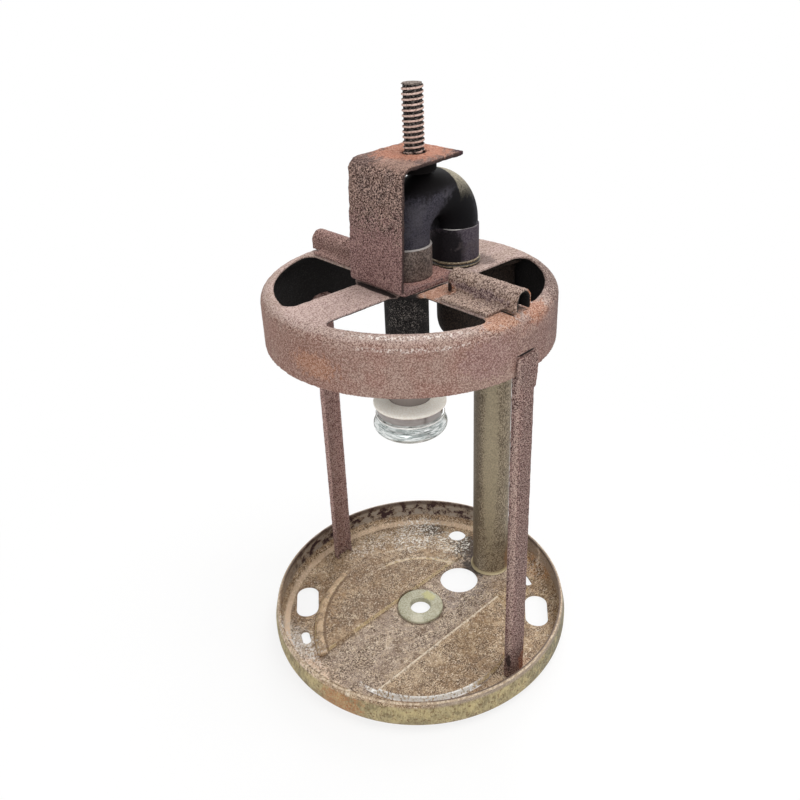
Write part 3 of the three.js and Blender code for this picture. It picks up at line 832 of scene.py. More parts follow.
@dataclass(frozen=True)
class BluedTube:
    """The hairpin's skin: charcoal with a bluish bloom, painted olive grey where light falls on the
    crest, and painted black in the flange's shadow over the bend.
    """

    name: str = "blued_tube"
    body: Colour = (72, 69, 79)
    second: Colour = (46, 44, 51)
    # Painted light: the colours of the lit crest, and where it starts and fades; then where the
    # painted shadow starts.
    pale_mark: Colour = (176, 168, 148)
    lit_crest_dark: Colour = (122, 115, 100)
    lit_crest_from: float = 11.4
    lit_crest_low: float = 139.0
    flange_shadow_from: float = 150.0
    stains_and_painted_light: tuple[Patch, ...] = ()

    def make(self) -> Material:
        """Mixes the finish."""
        recipe = Recipe(self.name)
        grain = recipe.speckle(0.45)
        broad = recipe.noise(6.0, 2.0, 0.5, shift=0.09)
        tone = recipe.mix(grain.step(0.58, 0.42), self.body, self.second)
        tone = recipe.mix(broad.step(0.42, 0.66) * 0.4, tone, (84, 81, 86))
        tone = recipe.patched(tone, self.stains_and_painted_light)
        # Painted shadow: the flange's shadow, painted black over the top of the bend.
        flange_shadow = (recipe.z + recipe.rag * 4.0).step(self.flange_shadow_from - 1.5, self.flange_shadow_from + 1.0)
        tone = recipe.mix(flange_shadow * 0.95, tone, (14, 11, 12))
        # Painted light: the crest painted olive grey where light falls on it, beyond a slanted
        # line.
        along = recipe.x + recipe.y * 0.32 + recipe.rag * 1.2
        low = (recipe.z + recipe.y * 0.8 + recipe.rag * 5.0).step(self.lit_crest_low,
                                                                  self.lit_crest_low + 11.0)
        pale_mark = along.step(self.lit_crest_from, self.lit_crest_from + 0.5) * low
        tone = recipe.mix(pale_mark * 0.92, tone, recipe.mix(grain.step(0.42, 0.56), self.lit_crest_dark,
                                                        self.pale_mark))
        return recipe.finish(tone, 0.7, 0.0, recipe.relief(grain, 0.04), Specular_IOR_Level=0.12)


@dataclass(frozen=True)
class PlainMetal:
    """Metal with a fine grain, blotches and marks, some of the marks painted light and shade."""

    name: str
    body: Colour
    shade: Colour
    pale: Colour
    grain: float = 0.5
    stretch: Point3 = (1, 1, 1)
    shade_share: float = 0.7
    pale_share: float = 0.5
    blotch: float = 0.35
    roughness: float = 0.5
    metallic: float = 0.2
    bump: float = 0.05
    stains_and_painted_light: tuple[Patch, ...] = ()

    def make(self) -> Material:
        """Mixes the finish."""
        recipe = Recipe(self.name)
        grain = recipe.noise(self.grain, 3.0, 0.65, stretch=self.stretch)
        blotch = recipe.noise(4.0, 3.0, 0.55, shift=0.17)
        tone = recipe.grained(self.body, grain, self.shade, self.shade_share, self.pale,
                              self.pale_share)
        tone = recipe.mix(blotch.step(0.5, 0.7) * self.blotch, tone, self.shade, blend="MULTIPLY")
        tone = recipe.patched(tone, self.stains_and_painted_light)
        rough = self.roughness + (blotch - 0.5) * 0.2
        return recipe.finish(tone, rough, self.metallic, recipe.relief(grain, self.bump))


@dataclass(frozen=True)
class PanPlating:
    """The pan's old plating, tanned by heat and flaked at the back, with painted highlights along
    its plateau edges, fillet and rim, and painted shade in its creases and under its rim.
    """

    name: str = "pan_plating"
    body: Colour = (172, 144, 112)
    brown: Colour = (146, 116, 84)
    mauve: Colour = (164, 148, 138)
    smear: Colour = (108, 82, 60)
    hollow: Colour = (108, 83, 62)
    dust: Colour = (212, 190, 160)
    shade: Colour = (134, 116, 100)
    pale: Colour = (224, 206, 180)
    pit: Colour = (82, 60, 46)
    top: Colour = (238, 224, 202)
    ridge: Colour = (222, 198, 150)
    crease: Colour = (110, 86, 68)
    bead: Colour = (218, 190, 156)
    groove: Colour = (108, 82, 62)
    foot: Colour = (228, 202, 174)
    wall: Colour = (150, 138, 126)
    maroon: Colour = (52, 30, 34)
    scab: Colour = (166, 158, 148)
    ledge_highlight: Colour = (228, 214, 194)
    seat: Colour = (78, 62, 48)
    rim_shadow: Colour = (70, 50, 42)
    zinc: Colour = (164, 150, 112)
    zinc_right: Colour = (118, 114, 92)
    zinc_shade: Colour = (176, 164, 142)
    zinc_pale: Colour = (206, 192, 158)
    zinc_worn: Colour = (196, 178, 132)
    zinc_dark: Colour = (116, 104, 78)
    speck: Colour = (108, 78, 50)
    rim: Colour = (218, 200, 176)
    rim_highlight_dark: Colour = (170, 148, 124)
    radius: float = 49.5
    height: float = 10.7
    channel_middle: float = -4.25
    channel_half: float = 11.4
    terrace_radius: float = 24.6
    shelf_radius: float = 31.2
    seat_radius: float = 8.2
    bead_centre: Point2 = (0.0, -8.2)
    groove_radius: float = 38.4
    front_centre: Point2 = (-6.1, -7.0)
    tints: tuple[Patch, ...] = (
        # The first tint is painted light: it lightens the corner round the left wall's foot.
        Patch((-46, 8, 4), (9, 26, 9), (226, 198, 174), 1, 1.2),
        Patch((-40, 21, 3), (7, 12, 8), (190, 180, 170), 0.8, 1.6),
        Patch((16, -6, 1), (12, 9, 3), (146, 132, 128), 0.8, 1.6),
        Patch((-20, -20, 1), (12, 9, 3), (184, 162, 136), 0.6, 1.6),
        Patch((-22, 22, 2), (12, 10, 3), (170, 136, 98), 0.6, 1.6),
        Patch((10, 20, 2), (12, 10, 3), (132, 106, 82), 0.7, 1.6),
        Patch((-14, 14, 2), (15, 8, 3), (126, 98, 74), 0.9, 1.8),
        Patch((-2, 27, 2), (12, 9, 3), (136, 106, 78), 0.9, 1.8),
        Patch((2, -24, 2), (13, 6, 3), (146, 118, 84), 0.7, 1.8),
        Patch((27, -25, 2), (8, 16, 6), (150, 120, 78), 0.8, 1.6),
        Patch((43, -16, 4), (5, 12, 8), (178, 128, 78), 0.8, 1.2),
        Patch((4, -40, 3), (8, 6, 6), (160, 104, 70), 0.7, 1.4))
    stains_and_painted_light: tuple[Patch, ...] = (
        Patch((36, 8, 2), (9, 9, 6), (46, 34, 30), 0.85, 1.6),
        Patch((28, 0, 1), (3.4, 6.5, 2), (34, 25, 22), 0.85, 1.4),
        Patch((33, 27, 2), (6, 6, 3), (56, 42, 34), 0.75, 2.2))
    white: tuple[Patch, ...] = (
        Patch((32.5, 15, 1), (8, 8.5, 3), (228, 224, 214), 1, 1.2),
        Patch((26, 29, 1), (12, 10, 3), (230, 226, 218), 1, 1.8),
        Patch((10, 37, 1), (13, 6, 3), (226, 216, 202), 0.75, 1.8),
        Patch((22, 12, 1.6), (4, 4, 3), (190, 184, 168), 0.7, 1.2),
        Patch((-42, 16, 4), (8, 14, 9), (224, 220, 216), 1, 1.8),
        # These two patches are painted light: they lighten the left wall, which lies in shade.
        Patch((-46, 2, 5), (7, 20, 8), (226, 208, 188), 1, 1.8),
        Patch((-39, 27, 6), (8, 9, 6), (196, 174, 154), 0.8, 1.8),
        Patch((42, -12, 6), (6, 12, 8), (206, 198, 194), 0.6, 1.6))
    orange: Patch = Patch((-45.6, -13.5, 5), (8, 9, 9), (176, 112, 72), 0.7, 1.6)
    front_edge_highlight: Patch = Patch((-25, -27, 1.6), (22, 22, 4), (244, 242, 238))

    def sheet(self, recipe: Recipe, fine: Sock, mottle: Sock, radius: Sock) -> Sock:
        """Tan and mauve sheet, smeared and mottled, with painted highlights on the slopes, painted
        shade in the creases at their feet and a fine pitted grain.
        """
        broad = recipe.noise(13.0, 3.0, 0.55, shift=0.19)
        channel = (abs(recipe.y - self.channel_middle) + recipe.rag * 4.0).step(
            self.channel_half + 0.6, self.channel_half - 1.2)
        tone = recipe.mix(broad.step(0.4, 0.6), self.body, self.brown)
        tone = recipe.mix(channel * radius.step(45.0, 43.0) * 0.75, tone, self.mauve)
        smears = recipe.noise(6.0, 4.0, 0.7, shift=0.91)
        inside = radius.step(44.0, 42.5)
        # Painted highlight on the plateaus' slopes, and painted shade in the creases at their feet.
        slope = recipe.z.step(1.15, 1.4) * recipe.z.step(2.17, 2.1) * inside
        shelf = recipe.y.step(6.2, 7.4) * radius.step(24.9, 25.3) * radius.step(33.0, 32.4)
        crease = recipe.z.step(1.01, 1.04) * recipe.z.step(1.22, 1.14) * inside
        tone = recipe.layered(
            recipe.patched(tone, self.tints),
            (smears.step(0.52, 0.64) * 0.6, self.smear),
            (mottle.step(0.5, 0.4) * 0.65, self.hollow),
            (mottle.step(0.52, 0.62) * 0.42, self.dust),
            (slope * (1 - shelf) * 0.6, self.ridge),
            (crease * 0.6, self.crease))
        vary = recipe.noise(5.0, 2.0, 0.5, shift=0.33).step(0.36, 0.64)
        pits = recipe.noise(0.8, 3.0, 0.7, shift=0.71).step(0.44, 0.37)
        tops = recipe.noise(0.7, 3.0, 0.7, shift=0.81).step(0.58, 0.65)
        tone = recipe.grained(tone, fine, self.shade, vary * 0.5 + 0.5, self.pale,
                              vary * 0.45 + 0.25)
        return recipe.layered(tone, (pits * (vary * 0.5 + 0.4), self.pit), (tops * 0.7, self.top))

    def marks(self, recipe: Recipe, tone: Sock, mottle: Sock, radius: Sock, high: Sock,
              left: Sock, chips: Sock) -> Sock:
        """Bead, a painted dark line at its inner foot, marks, painted highlights on the wall's foot
        and on plateau edges, the wall's scabbed inner face, chips and pale flakes, some of them
        painted light.
        """
        bead = recipe.z.step(2.25, 2.4) * radius.step(46.5, 46.0)
        # Painted shade: a dark line at the bead's inner foot.
        groove = abs(recipe.radius(self.bead_centre) - self.groove_radius).step(0.5, 0.25)
        groove = groove * recipe.x.step(-7.0, -9.0) * recipe.y.step(6.5, 8.0)
        tone = recipe.layered(tone, (bead * (mottle.step(0.4, 0.55) * 0.4 + 0.2), self.bead),
                              (groove * 0.7, self.groove))
        back = recipe.x.step(-31.0, -14.0) * (recipe.y + recipe.x * 0.5).step(10.0, 24.0)
        # Painted highlight: a light band on the fillet at the wall's foot.
        foot = radius.step(45.1, 45.6) * radius.step(47.6, 46.8) * recipe.y.step(-2.0, 10.0)
        scabs = recipe.noise(3.0, 4.0, 0.7, shift=0.61)
        tone = recipe.layered(
            recipe.patched(tone, self.stains_and_painted_light),
            (foot * (left * 0.3 + 0.5), self.foot),
            (high * (1 - left) * 0.65, self.wall),
            (high * back * scabs.step(0.51, 0.43), self.maroon),
            (high * back * scabs.step(0.5, 0.56) * 0.7, self.scab))
        # Painted highlights along the front plateau's lip and the rear terrace and shelf edges.
        lip = recipe.y.step(-17.4, -16.7) * recipe.y.step(-15.5, -15.9) * recipe.z.step(1.7, 2.0)
        terrace = abs(radius - self.terrace_radius).step(1.5, 0.5)
        shelf = abs(radius - self.shelf_radius).step(1.3, 0.4)
        ledges = terrace.over(shelf) * recipe.y.step(6.2, 7.4)
        ledges = ledges * (recipe.x + recipe.rag * 12.0).step(-8.0, 12.0)
        edges = (lip * 0.9).over(ledges * mottle.step(0.42, 0.54) * 0.6)
        tone = recipe.mix(edges * chips.step(0.38, 0.52), tone, self.ledge_highlight)
        for patch in self.white:
            flakes = chips.step(0.56 - patch.strength * 0.08, 0.6)
            tone = recipe.mix(recipe.cover(patch) * flakes, tone, patch.colour)
        seat = abs(radius - self.seat_radius).step(0.28, 0.14)
        # Painted highlight along the front plateau's rounded edge.
        out = recipe.radius(self.front_centre)
        front = out.step(29.2, 29.6) * out.step(31.0, 30.6) * recipe.cover(self.front_edge_highlight)
        return recipe.layered(tone, (seat * 0.5, self.seat),
                              (front * (1 - high) * chips.step(0.38, 0.5), self.front_edge_highlight.colour))

    def outside(self, recipe: Recipe, tone: Sock, radius: Sock, fine: Sock) -> Sock:
        """The wall's outer face: brushed zinc, greener to the right, with specks and a bloom."""
        out = radius.step(self.radius - 0.65, self.radius - 0.45) * recipe.z.step(0.6, 1.4)
        brushed = recipe.noise(0.5, 2.0, 0.6, stretch=(1, 1, 0.35), shift=0.29)
        pale_mark = recipe.noise(3.5, 4.0, 0.65, shift=0.67)
        specks = recipe.noise(0.8, 2.0, 0.65, shift=0.37).step(0.57, 0.63)
        zinc = recipe.mix(recipe.x.step(-18.0, 20.0), self.zinc, self.zinc_right)
        zinc = recipe.grained(zinc, brushed, self.zinc_shade, 0.35, self.zinc_pale, 0.2)
        zinc = recipe.layered(
            zinc,
            (pale_mark.step(0.5, 0.62) * 0.5, self.zinc_worn),
            (pale_mark.step(0.48, 0.38) * 0.6, self.zinc_dark),
            (specks * 0.75, self.speck),
            (recipe.cover(self.orange) * fine.step(0.4, 0.56), self.orange.colour))
        return recipe.mix(out, tone, zinc)

    def make(self) -> Material:
        """Mixes the finish."""
        recipe = Recipe(self.name)
        fine = recipe.speckle(0.45)
        mottle = recipe.noise(2.6, 4.0, 0.65, shift=0.05)
        chips = recipe.noise(0.8, 3.0, 0.7, shift=0.27)
        radius = recipe.radius()
        high = (recipe.z + recipe.rag * 2.0).step(3.2, 4.4)
        left = (recipe.x + recipe.rag * 6.0).step(-26.0, -36.0)
        tone = self.sheet(recipe, fine, mottle, radius)
        tone = self.marks(recipe, tone, mottle, radius, high, left, chips)
        # Painted shadow: dark on the wall's inner face just under the rim, less on the left.
        under = recipe.z.step(self.height - 2.4, self.height - 1.2)
        under = under * radius.step(self.radius - 0.8, self.radius - 1.1)
        tone = recipe.mix(under * (0.7 - left * 0.5), tone, self.rim_shadow)
        tone = self.outside(recipe, tone, radius, fine)
        # Painted highlight: the rolled rim's top, light with darker chips.
        rim = recipe.z.step(self.height - 0.5, self.height - 0.25)
        rim = rim * radius.step(self.radius - 1.45, self.radius - 1.2)
        edge = recipe.mix(chips.step(0.45, 0.6), self.rim_highlight_dark, self.rim)
        tone = recipe.mix(rim * 0.85, tone, edge)
        normal = recipe.relief(fine * 0.6 + mottle * 0.4, 0.1)
        return recipe.finish(tone, 0.66, 0.08, normal, Specular_IOR_Level=0.4)


class Finish(Enum):
    """The finishes of the frame, each with its recipe."""

    RING = RingScale(
        "ring_scale", body=(148, 113, 102), second=(154, 126, 115), shade=(164, 148, 144),
        pale=(214, 194, 182), grain=0.45, shade_share=0.85, pale_share=0.45,
        tints=(
            # The first tint makes the left spoke lighter; the second is painted shade, darker over
            # the hoop's far right side.
            Patch((-28, 0, 124.8), (18, 16, 3), (190, 166, 160), 0.8, 1.2),
            Patch((30, -30, 118), (24, 22, 14), (96, 74, 69), 0.9, 1.2),
            Patch((-3, -15, 124.8), (8, 5.5, 3), (184, 128, 96), 0.75, 2.4),
            Patch((-5, -38, 124.6), (8, 4.5, 3), (184, 130, 98), 0.75, 2.4),
            Patch((7, -39.5, 123.5), (6, 4, 4), (180, 120, 88), 0.7, 2.4),
            Patch((-43, -5, 116), (10, 20, 9), (138, 102, 90), 0.7, 1.6),
            Patch((-42, -8, 115), (6, 9, 4), (170, 120, 92), 0.6, 2),
            Patch((-9, -41, 117), (12, 8, 7), (130, 100, 94), 0.6, 1.6),
            Patch((12, -41, 115), (16, 8, 9), (124, 95, 90), 0.7, 1.6),
            Patch((-12, -40, 117), (10, 8, 6), (150, 116, 112), 0.5, 2)),
        # Painted shade: dark lines in the gaps along the bracket's foot, black at its front corner,
        # dark along the front saddle's arch foot, above the front leg's tab and round the sleeve's
        # foot.
        stains_and_painted_light=(
            Patch((-2.5, -11, 124.8), (9.5, 0.6, 1), (26, 17, 15), 1, 0.6),
            Patch((-12.9, -0.3, 124.8), (1.6, 12.2, 1), (30, 18, 15), 1, 0.5),
            Patch((-10.8, -10.8, 124.3), (4.2, 3.4, 1.4), (16, 11, 10), 1, 0.8),
            Patch((-1.1, -37.2, 124.9), (0.55, 3.6, 1), (24, 16, 14), 1, 0.4),
            Patch((1.2, -42.2, 114.6), (4.9, 1.6, 0.45), (30, 20, 20), 1, 0.5),
            Patch((24, -5, 124.8), (6, 6, 1), (60, 44, 40), 0.6, 1.4)))
    BRACKET = BracketScale(
        "bracket_scale", body=(108, 83, 75), second=(96, 76, 72), shade=(70, 58, 56),
        pale=(204, 174, 160), grain=0.45, shade_share=1.0, pale_share=0.8, bump=0.3,
        tints=(
            Patch((4, 1, 160), (15, 12.5, 2.6), (186, 124, 98), 0.95, 1.4),
            Patch((-8, -5, 159.5), (4.5, 9, 3), (160, 128, 114), 0.8, 1.6),
            Patch((1, -1, 126), (12, 11.5, 2), (170, 124, 112), 0.9, 1.2)),
        stains_and_painted_light=(
            Patch((3.3, 0, 159.8), (3.9, 3.9, 3), (28, 17, 14), 1, 1.6),
            Patch((11.5, -9.5, 160), (2.6, 2.6, 3), (62, 42, 50), 0.9, 1.4)))
    SADDLE_FRONT = SaddleScale(
        "front_saddle_scale", body=(156, 132, 118), second=(146, 124, 114), shade=(122, 106, 102),
        pale=(212, 190, 176), pale_share=0.6,
        tints=(
            Patch((5, -39, 128), (3.5, 3, 3.6), (196, 126, 82), 0.9, 1.2),
            Patch((-2.5, -17.5, 126.5), (3, 2.6, 2.5), (170, 110, 76), 0.9, 1.4),
            Patch((-0.8, -27, 127.5), (1.2, 12, 1.6), (122, 100, 106), 0.8, 2)),
        # Painted shade: dark in the mouth at the arch's inner end.
        stains_and_painted_light=(
            Patch((-0.6, -16.6, 126.3), (1.2, 1.2, 1.6), (34, 22, 18), 1, 0.8),))
    SADDLE_REAR = SaddleScale(
        "rear_saddle_scale", body=(134, 102, 96), second=(144, 114, 106), shade=(116, 98, 96),
        pale=(192, 162, 152), axis=(-1.0, 128.0))
    LEG = RustedSteel(
        "leg_scale", body=(132, 100, 95), second=(120, 94, 89), shade=(116, 98, 96),
        pale=(206, 184, 172), grain=0.45, shade_share=0.95, pale_share=0.5,
        # The first tint is darker over the front leg's right side; the second is painted light that
        # lightens the rear leg, which lies in shade; the third is a painted highlight along the
        # front leg's left bend.
        tints=(
            Patch((2.5, -42, 60), (5, 4, 80), (112, 86, 82), 0.7, 1),
            Patch((-1.2, 41.5, 60), (7, 4, 80), (170, 136, 130), 0.9, 1),
            Patch((-2.6, -42.6, 60), (1.1, 2, 70), (176, 150, 140), 0.7, 1.2),
            Patch((4, -42, 5), (3, 4, 6), (170, 108, 76), 0.8, 1.4)),
        # The first mark is darker low on the front leg's left bend; the second is painted shade on
        # its left side face.
        stains_and_painted_light=(
            Patch((-2.5, -42.6, 8.2), (0.7, 2, 4.2), (42, 28, 28), 0.9, 1.4),
            Patch((-3.4, -41, 60), (0.8, 1.6, 70), (56, 40, 40), 0.75, 1)))
    STUD = StudScale()
    HAIRPIN = BluedTube(
        # Painted shadow and shade: black under the flange, and dark in the crotch of the bend.
        stains_and_painted_light=(
            Patch((1, -1, 156), (16, 15, 11), (15, 12, 14), 0.9, 0.9),
            Patch((18.5, -5, 143.5), (9, 7, 10), (24, 23, 30), 0.9, 1),
            Patch((13.5, -5, 141), (9, 9, 11.5), (9, 8, 11), 1, 0.7)))
    SLEEVE = SootedTube(
        "sleeve_soot", body=(62, 55, 64), second=(90, 83, 90),
        # Painted light: shade on the left side by the crotch, highlights on the top rim, and a
        # lighter front.
        stains_and_painted_light=(
            Patch((13, -2, 130), (5, 8, 9), (14, 12, 14), 0.9, 0.6),
            Patch((13.2, -4.6, 136.5), (3.2, 3.2, 0.2), (196, 192, 190), 0.95, 0.4),
            Patch((18, -7.2, 136.5), (6, 2, 0.12), (120, 116, 116), 0.8, 0.6),
            Patch((19, -4, 130.5), (6, 5, 4), (84, 76, 78), 0.5, 1.6)))
    COLLAR = PlainMetal(
        "collar_grey", (100, 86, 80), (120, 106, 102), (168, 150, 138), grain=0.5,
        shade_share=0.6, pale_share=0.4,
        # Painted light: a highlight along the top lip and shade at the foot.
        stains_and_painted_light=(
            Patch((0, 0, 135.2), (30, 30, 0.34), (174, 168, 165), 0.8, 0.3),
            Patch((0, 0, 126), (30, 30, 0.6), (54, 40, 36), 0.8, 0.6)))
    BRASS = PlainMetal(
        "ferrule_brass", (120, 104, 82), (110, 96, 86), (196, 182, 152), grain=0.4, blotch=0.5,
        # Painted shade: dark between the two beads and at the foot.
        stains_and_painted_light=(
            Patch((18.65, 0, 125.75), (30, 30, 0.34), (26, 20, 18), 1, 0.2),
            Patch((18.65, 0, 124.9), (30, 30, 0.3), (24, 18, 16), 1, 0.2)))
    CHAMBER = SootedTube("chamber_soot", body=(24, 19, 17), second=(52, 42, 36), flaking=0.25)
    DOWN_TUBE = SootedTube(
        "down_tube_soot", body=(8, 6, 6), second=(42, 39, 39), flake=(146, 138, 132),
        flaking=0.7, flake_size=0.4,
        stains_and_painted_light=(
            Patch((-0.9, 0.6, 87), (30, 30, 6), (150, 140, 134), 0.9, 0.2),
            Patch((-0.9, 0.6, 91.6), (30, 30, 0.6), (20, 16, 16), 0.9, 0.3)))
    AIR_TUBE = PlainMetal(
        "air_tube_olive", (124, 110, 90), (136, 122, 110), (180, 166, 140), grain=0.4,
        stretch=(1, 1, 0.7), shade_share=0.65, pale_share=0.5, roughness=0.5, metallic=0.25,
        # The first three marks are painted light: a lighter band down the front, and shade on the
        # right side and the left edge.
        stains_and_painted_light=(
            Patch((29.5, -6, 52), (3.2, 3.2, 50), (156, 144, 118), 0.6, 1.2),
            Patch((40, -6, 50), (5, 5, 70), (106, 88, 66), 0.75, 1.2),
            Patch((28.5, 1, 50), (3, 5, 70), (84, 74, 60), 0.6, 0.8),
            Patch((34, -2, 1.2), (30, 30, 1), (178, 164, 128), 0.7, 1.2),
            Patch((38, -7, 6), (4, 4, 7), (150, 110, 74), 0.6, 1.8)))
    PAN = PanPlating()
    BUSHING = PlainMetal(
        "bushing_zinc", (168, 164, 142), (190, 186, 160), (196, 194, 170), pale_share=0.3,
        shade_share=0.5, blotch=0.25, metallic=0.1,
        stains_and_painted_light=(
            Patch((5.2, 1, 1.9), (2.2, 2.8, 2), (184, 178, 112), 0.6, 1.4),
            Patch((-5, -4, 1.5), (3.4, 4.4, 0.7), (212, 208, 188), 0.5, 1)))
    FLANGE = PlainMetal(
        "flange_ash", (246, 240, 230), (236, 226, 216), (250, 246, 240), grain=0.5,
        shade_share=0.4, pale_share=0.2, blotch=0.1, roughness=0.6, metallic=0.0, bump=0.01,
        stains_and_painted_light=(
            Patch((-0.9, 0.6, 84.3), (30, 30, 0.4), (176, 158, 148), 0.7, 0.3),))
    CAP = PlainMetal(
        "cap_silver", (206, 212, 210), (172, 176, 176), (246, 248, 247), grain=3.6,
        stretch=(1, 1, 9.0), shade_share=0.9, pale_share=0.8, blotch=0.08, roughness=0.24,
        metallic=0.5, bump=0.01,
        stains_and_painted_light=(
            # Painted shade on the neck and a painted shadow under the flange, a painted highlight
            # along the lip, and darker round the bulb's foot.
            Patch((-0.9, 0.6, 82.8), (30, 30, 1.9), (142, 132, 128), 0.9, 0.3),
            Patch((-0.9, 0.6, 84.1), (30, 30, 0.5), (36, 30, 28), 0.95, 0.2),
            Patch((-0.9, 0.6, 80.9), (30, 30, 0.34), (232, 230, 226), 0.8, 0.2),
            Patch((-0.9, 0.6, 74.6), (30, 30, 1.2), (120, 118, 120), 0.8, 0.6)))
    GAUZE = PlainMetal("gauze_wire", (96, 90, 84), (120, 114, 108), (150, 144, 136))


@dataclass
class Assembly:
    """What every sub-assembly does with its finished pieces."""

    made: dict[Finish, Material] = field(default_factory=dict)

    def hand_over(self, piece: Object, name: str, node: str, finish: Finish, slot: str,
                  sharp: float = TURNED_EDGE, even: bool = False) -> None:
        """Shades, names and finishes a piece, and sets it on the frame.

        Args:
            piece: The piece.
            name: Its name.
            node: The CAD node that it stands for.
            finish: Its finish.
            slot: Not used.
            sharp: The angle past which its edges look sharp, in degrees.
            even: Whether its wide flat faces are shaded flat.
        """
        Bench.smooth(piece, sharp)
        if even:
            Bench.apply(piece, "WEIGHTED_NORMAL", keep_sharp=True)
        piece.name = name
        piece.data.name = name
        piece.data.materials.clear()
        if finish not in self.made:
            self.made[finish] = finish.value.make()
        piece.data.materials.append(self.made[finish])
        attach(piece, "root")
        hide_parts(node)
        LOG.info("%s: %d faces", name, len(piece.data.polygons))


@dataclass
class TopRing(Assembly):
    """The pressed hoop and its web of four spokes."""

    radius: float = 42.0
    top: float = 124.8
    depth: float = 16.0
    sheet: float = 1.0
    edge: float = 3.4
    window_radius: float = 38.1
    hub_radius: float = 15.2
    spoke: float = 13.8
    chamber_spoke: float = 23.2
    window_corner: float = 3.0
    hub_corner: float = 0.8
    tube_hole: float = 6.6
    sleeve_hole: float = 7.3
    rear_leg: float = 90 + LEG_TURN
    leg_reach: float = 5.3
    sag_reaches: Point2 = (24.0, 20.0)
    sag: float = 0.65
    steps: int = 192

    def hangs(self, face: Any, reach: float) -> bool:
        """Whether a face of the lower edge is in a reach of the rear leg, but clear of it."""
        middle = face.calc_center_median() / MM
        off = abs(angle_of(middle.x, middle.y) - self.rear_leg)
        low = middle.z < self.top - self.depth + self.sheet / 5
        return face.normal.z < -STEEP and low and self.leg_reach < off < reach

    def sag_rear(self, hoop: Object) -> None:
        """Lets the skirt's lower edge hang a little deeper on both sides of the rear leg."""
        Bench.edit(hoop)
        for reach in self.sag_reaches:
            Bench.pick_faces(lambda face, reach=reach: self.hangs(face, reach))
            bpy.ops.transform.translate(value=(0, 0, -self.sag * MM))
        Bench.done()

    def window(self, side_x: float, side_y: float) -> list[Point2]:
        """One window's outline, beyond the spoke edges x = side_x and y = side_y."""
        corner = self.window_corner
        reach = self.window_radius - corner
        low_x = sqrt(reach ** 2 - (side_y + corner) ** 2)
        high_y = sqrt(reach ** 2 - (side_x + corner) ** 2)
        low = angle_of(low_x, side_y + corner)
        high = angle_of(side_x + corner, high_y)
        small = self.hub_corner
        hub = self.hub_radius + small
        hub_low = degrees(asin((side_y + small) / hub))
        hub_high = degrees(acos((side_x + small) / hub))
        hub_x = hub * cos(radians(hub_low))
        hub_y = hub * sin(radians(hub_high))
        return (arc((low_x, side_y + corner), corner, -90, low, 8)
                + arc((0, 0), self.window_radius, low, high, 32)
                + arc((side_x + corner, high_y), corner, high, 180, 8)
                + arc((side_x + small, hub_y), small, 180, 180 + hub_high, 4)
                + arc((0, 0), self.hub_radius, hub_high, hub_low, 10)
                + arc((hub_x, side_y + small), small, 180 + hub_low, 270, 4))

    def build(self) -> None:
        """Presses the hoop, cuts the windows and bores, and scales it over."""
        corner = (self.radius - self.edge, self.top - self.edge)
        foot = self.top - self.depth
        profile = [(0, self.top)] + arc(corner, self.edge, 90, 0, 10)
        profile += [(self.radius, foot), (self.radius - self.sheet, foot)]
        profile += arc(corner, self.edge - self.sheet, 0, 90, 8) + [(0, self.top - self.sheet)]
        hoop = Bench.spun(profile, self.steps)
        self.sag_rear(hoop)
        outlines = []
        for across, spoke in ((1, self.chamber_spoke), (-1, self.spoke)):
            window = self.window(self.spoke / 2, spoke / 2)
            outlines += [[(x * across, y * along) for x, y in window] for along in (1, -1)]
        outlines += [arc(DOWN_PLACE, self.tube_hole, 0, 357, 63),
                     arc(SLEEVE_PLACE, self.sleeve_hole, 0, 357, 63)]
        cutters = [Bench.upright(outline, self.top - 3 * self.sheet, 4 * self.sheet)
                   for outline in outlines]
        Bench.cut(hoop, Bench.gather(cutters))
        Bench.rust_over(hoop, cell=0.45, grain=1.3, depth=0.18)
        self.hand_over(hoop, "ring_hoop", "top_ring", Finish.RING, "pale_scaled_steel",
                       RUSTED_EDGE)


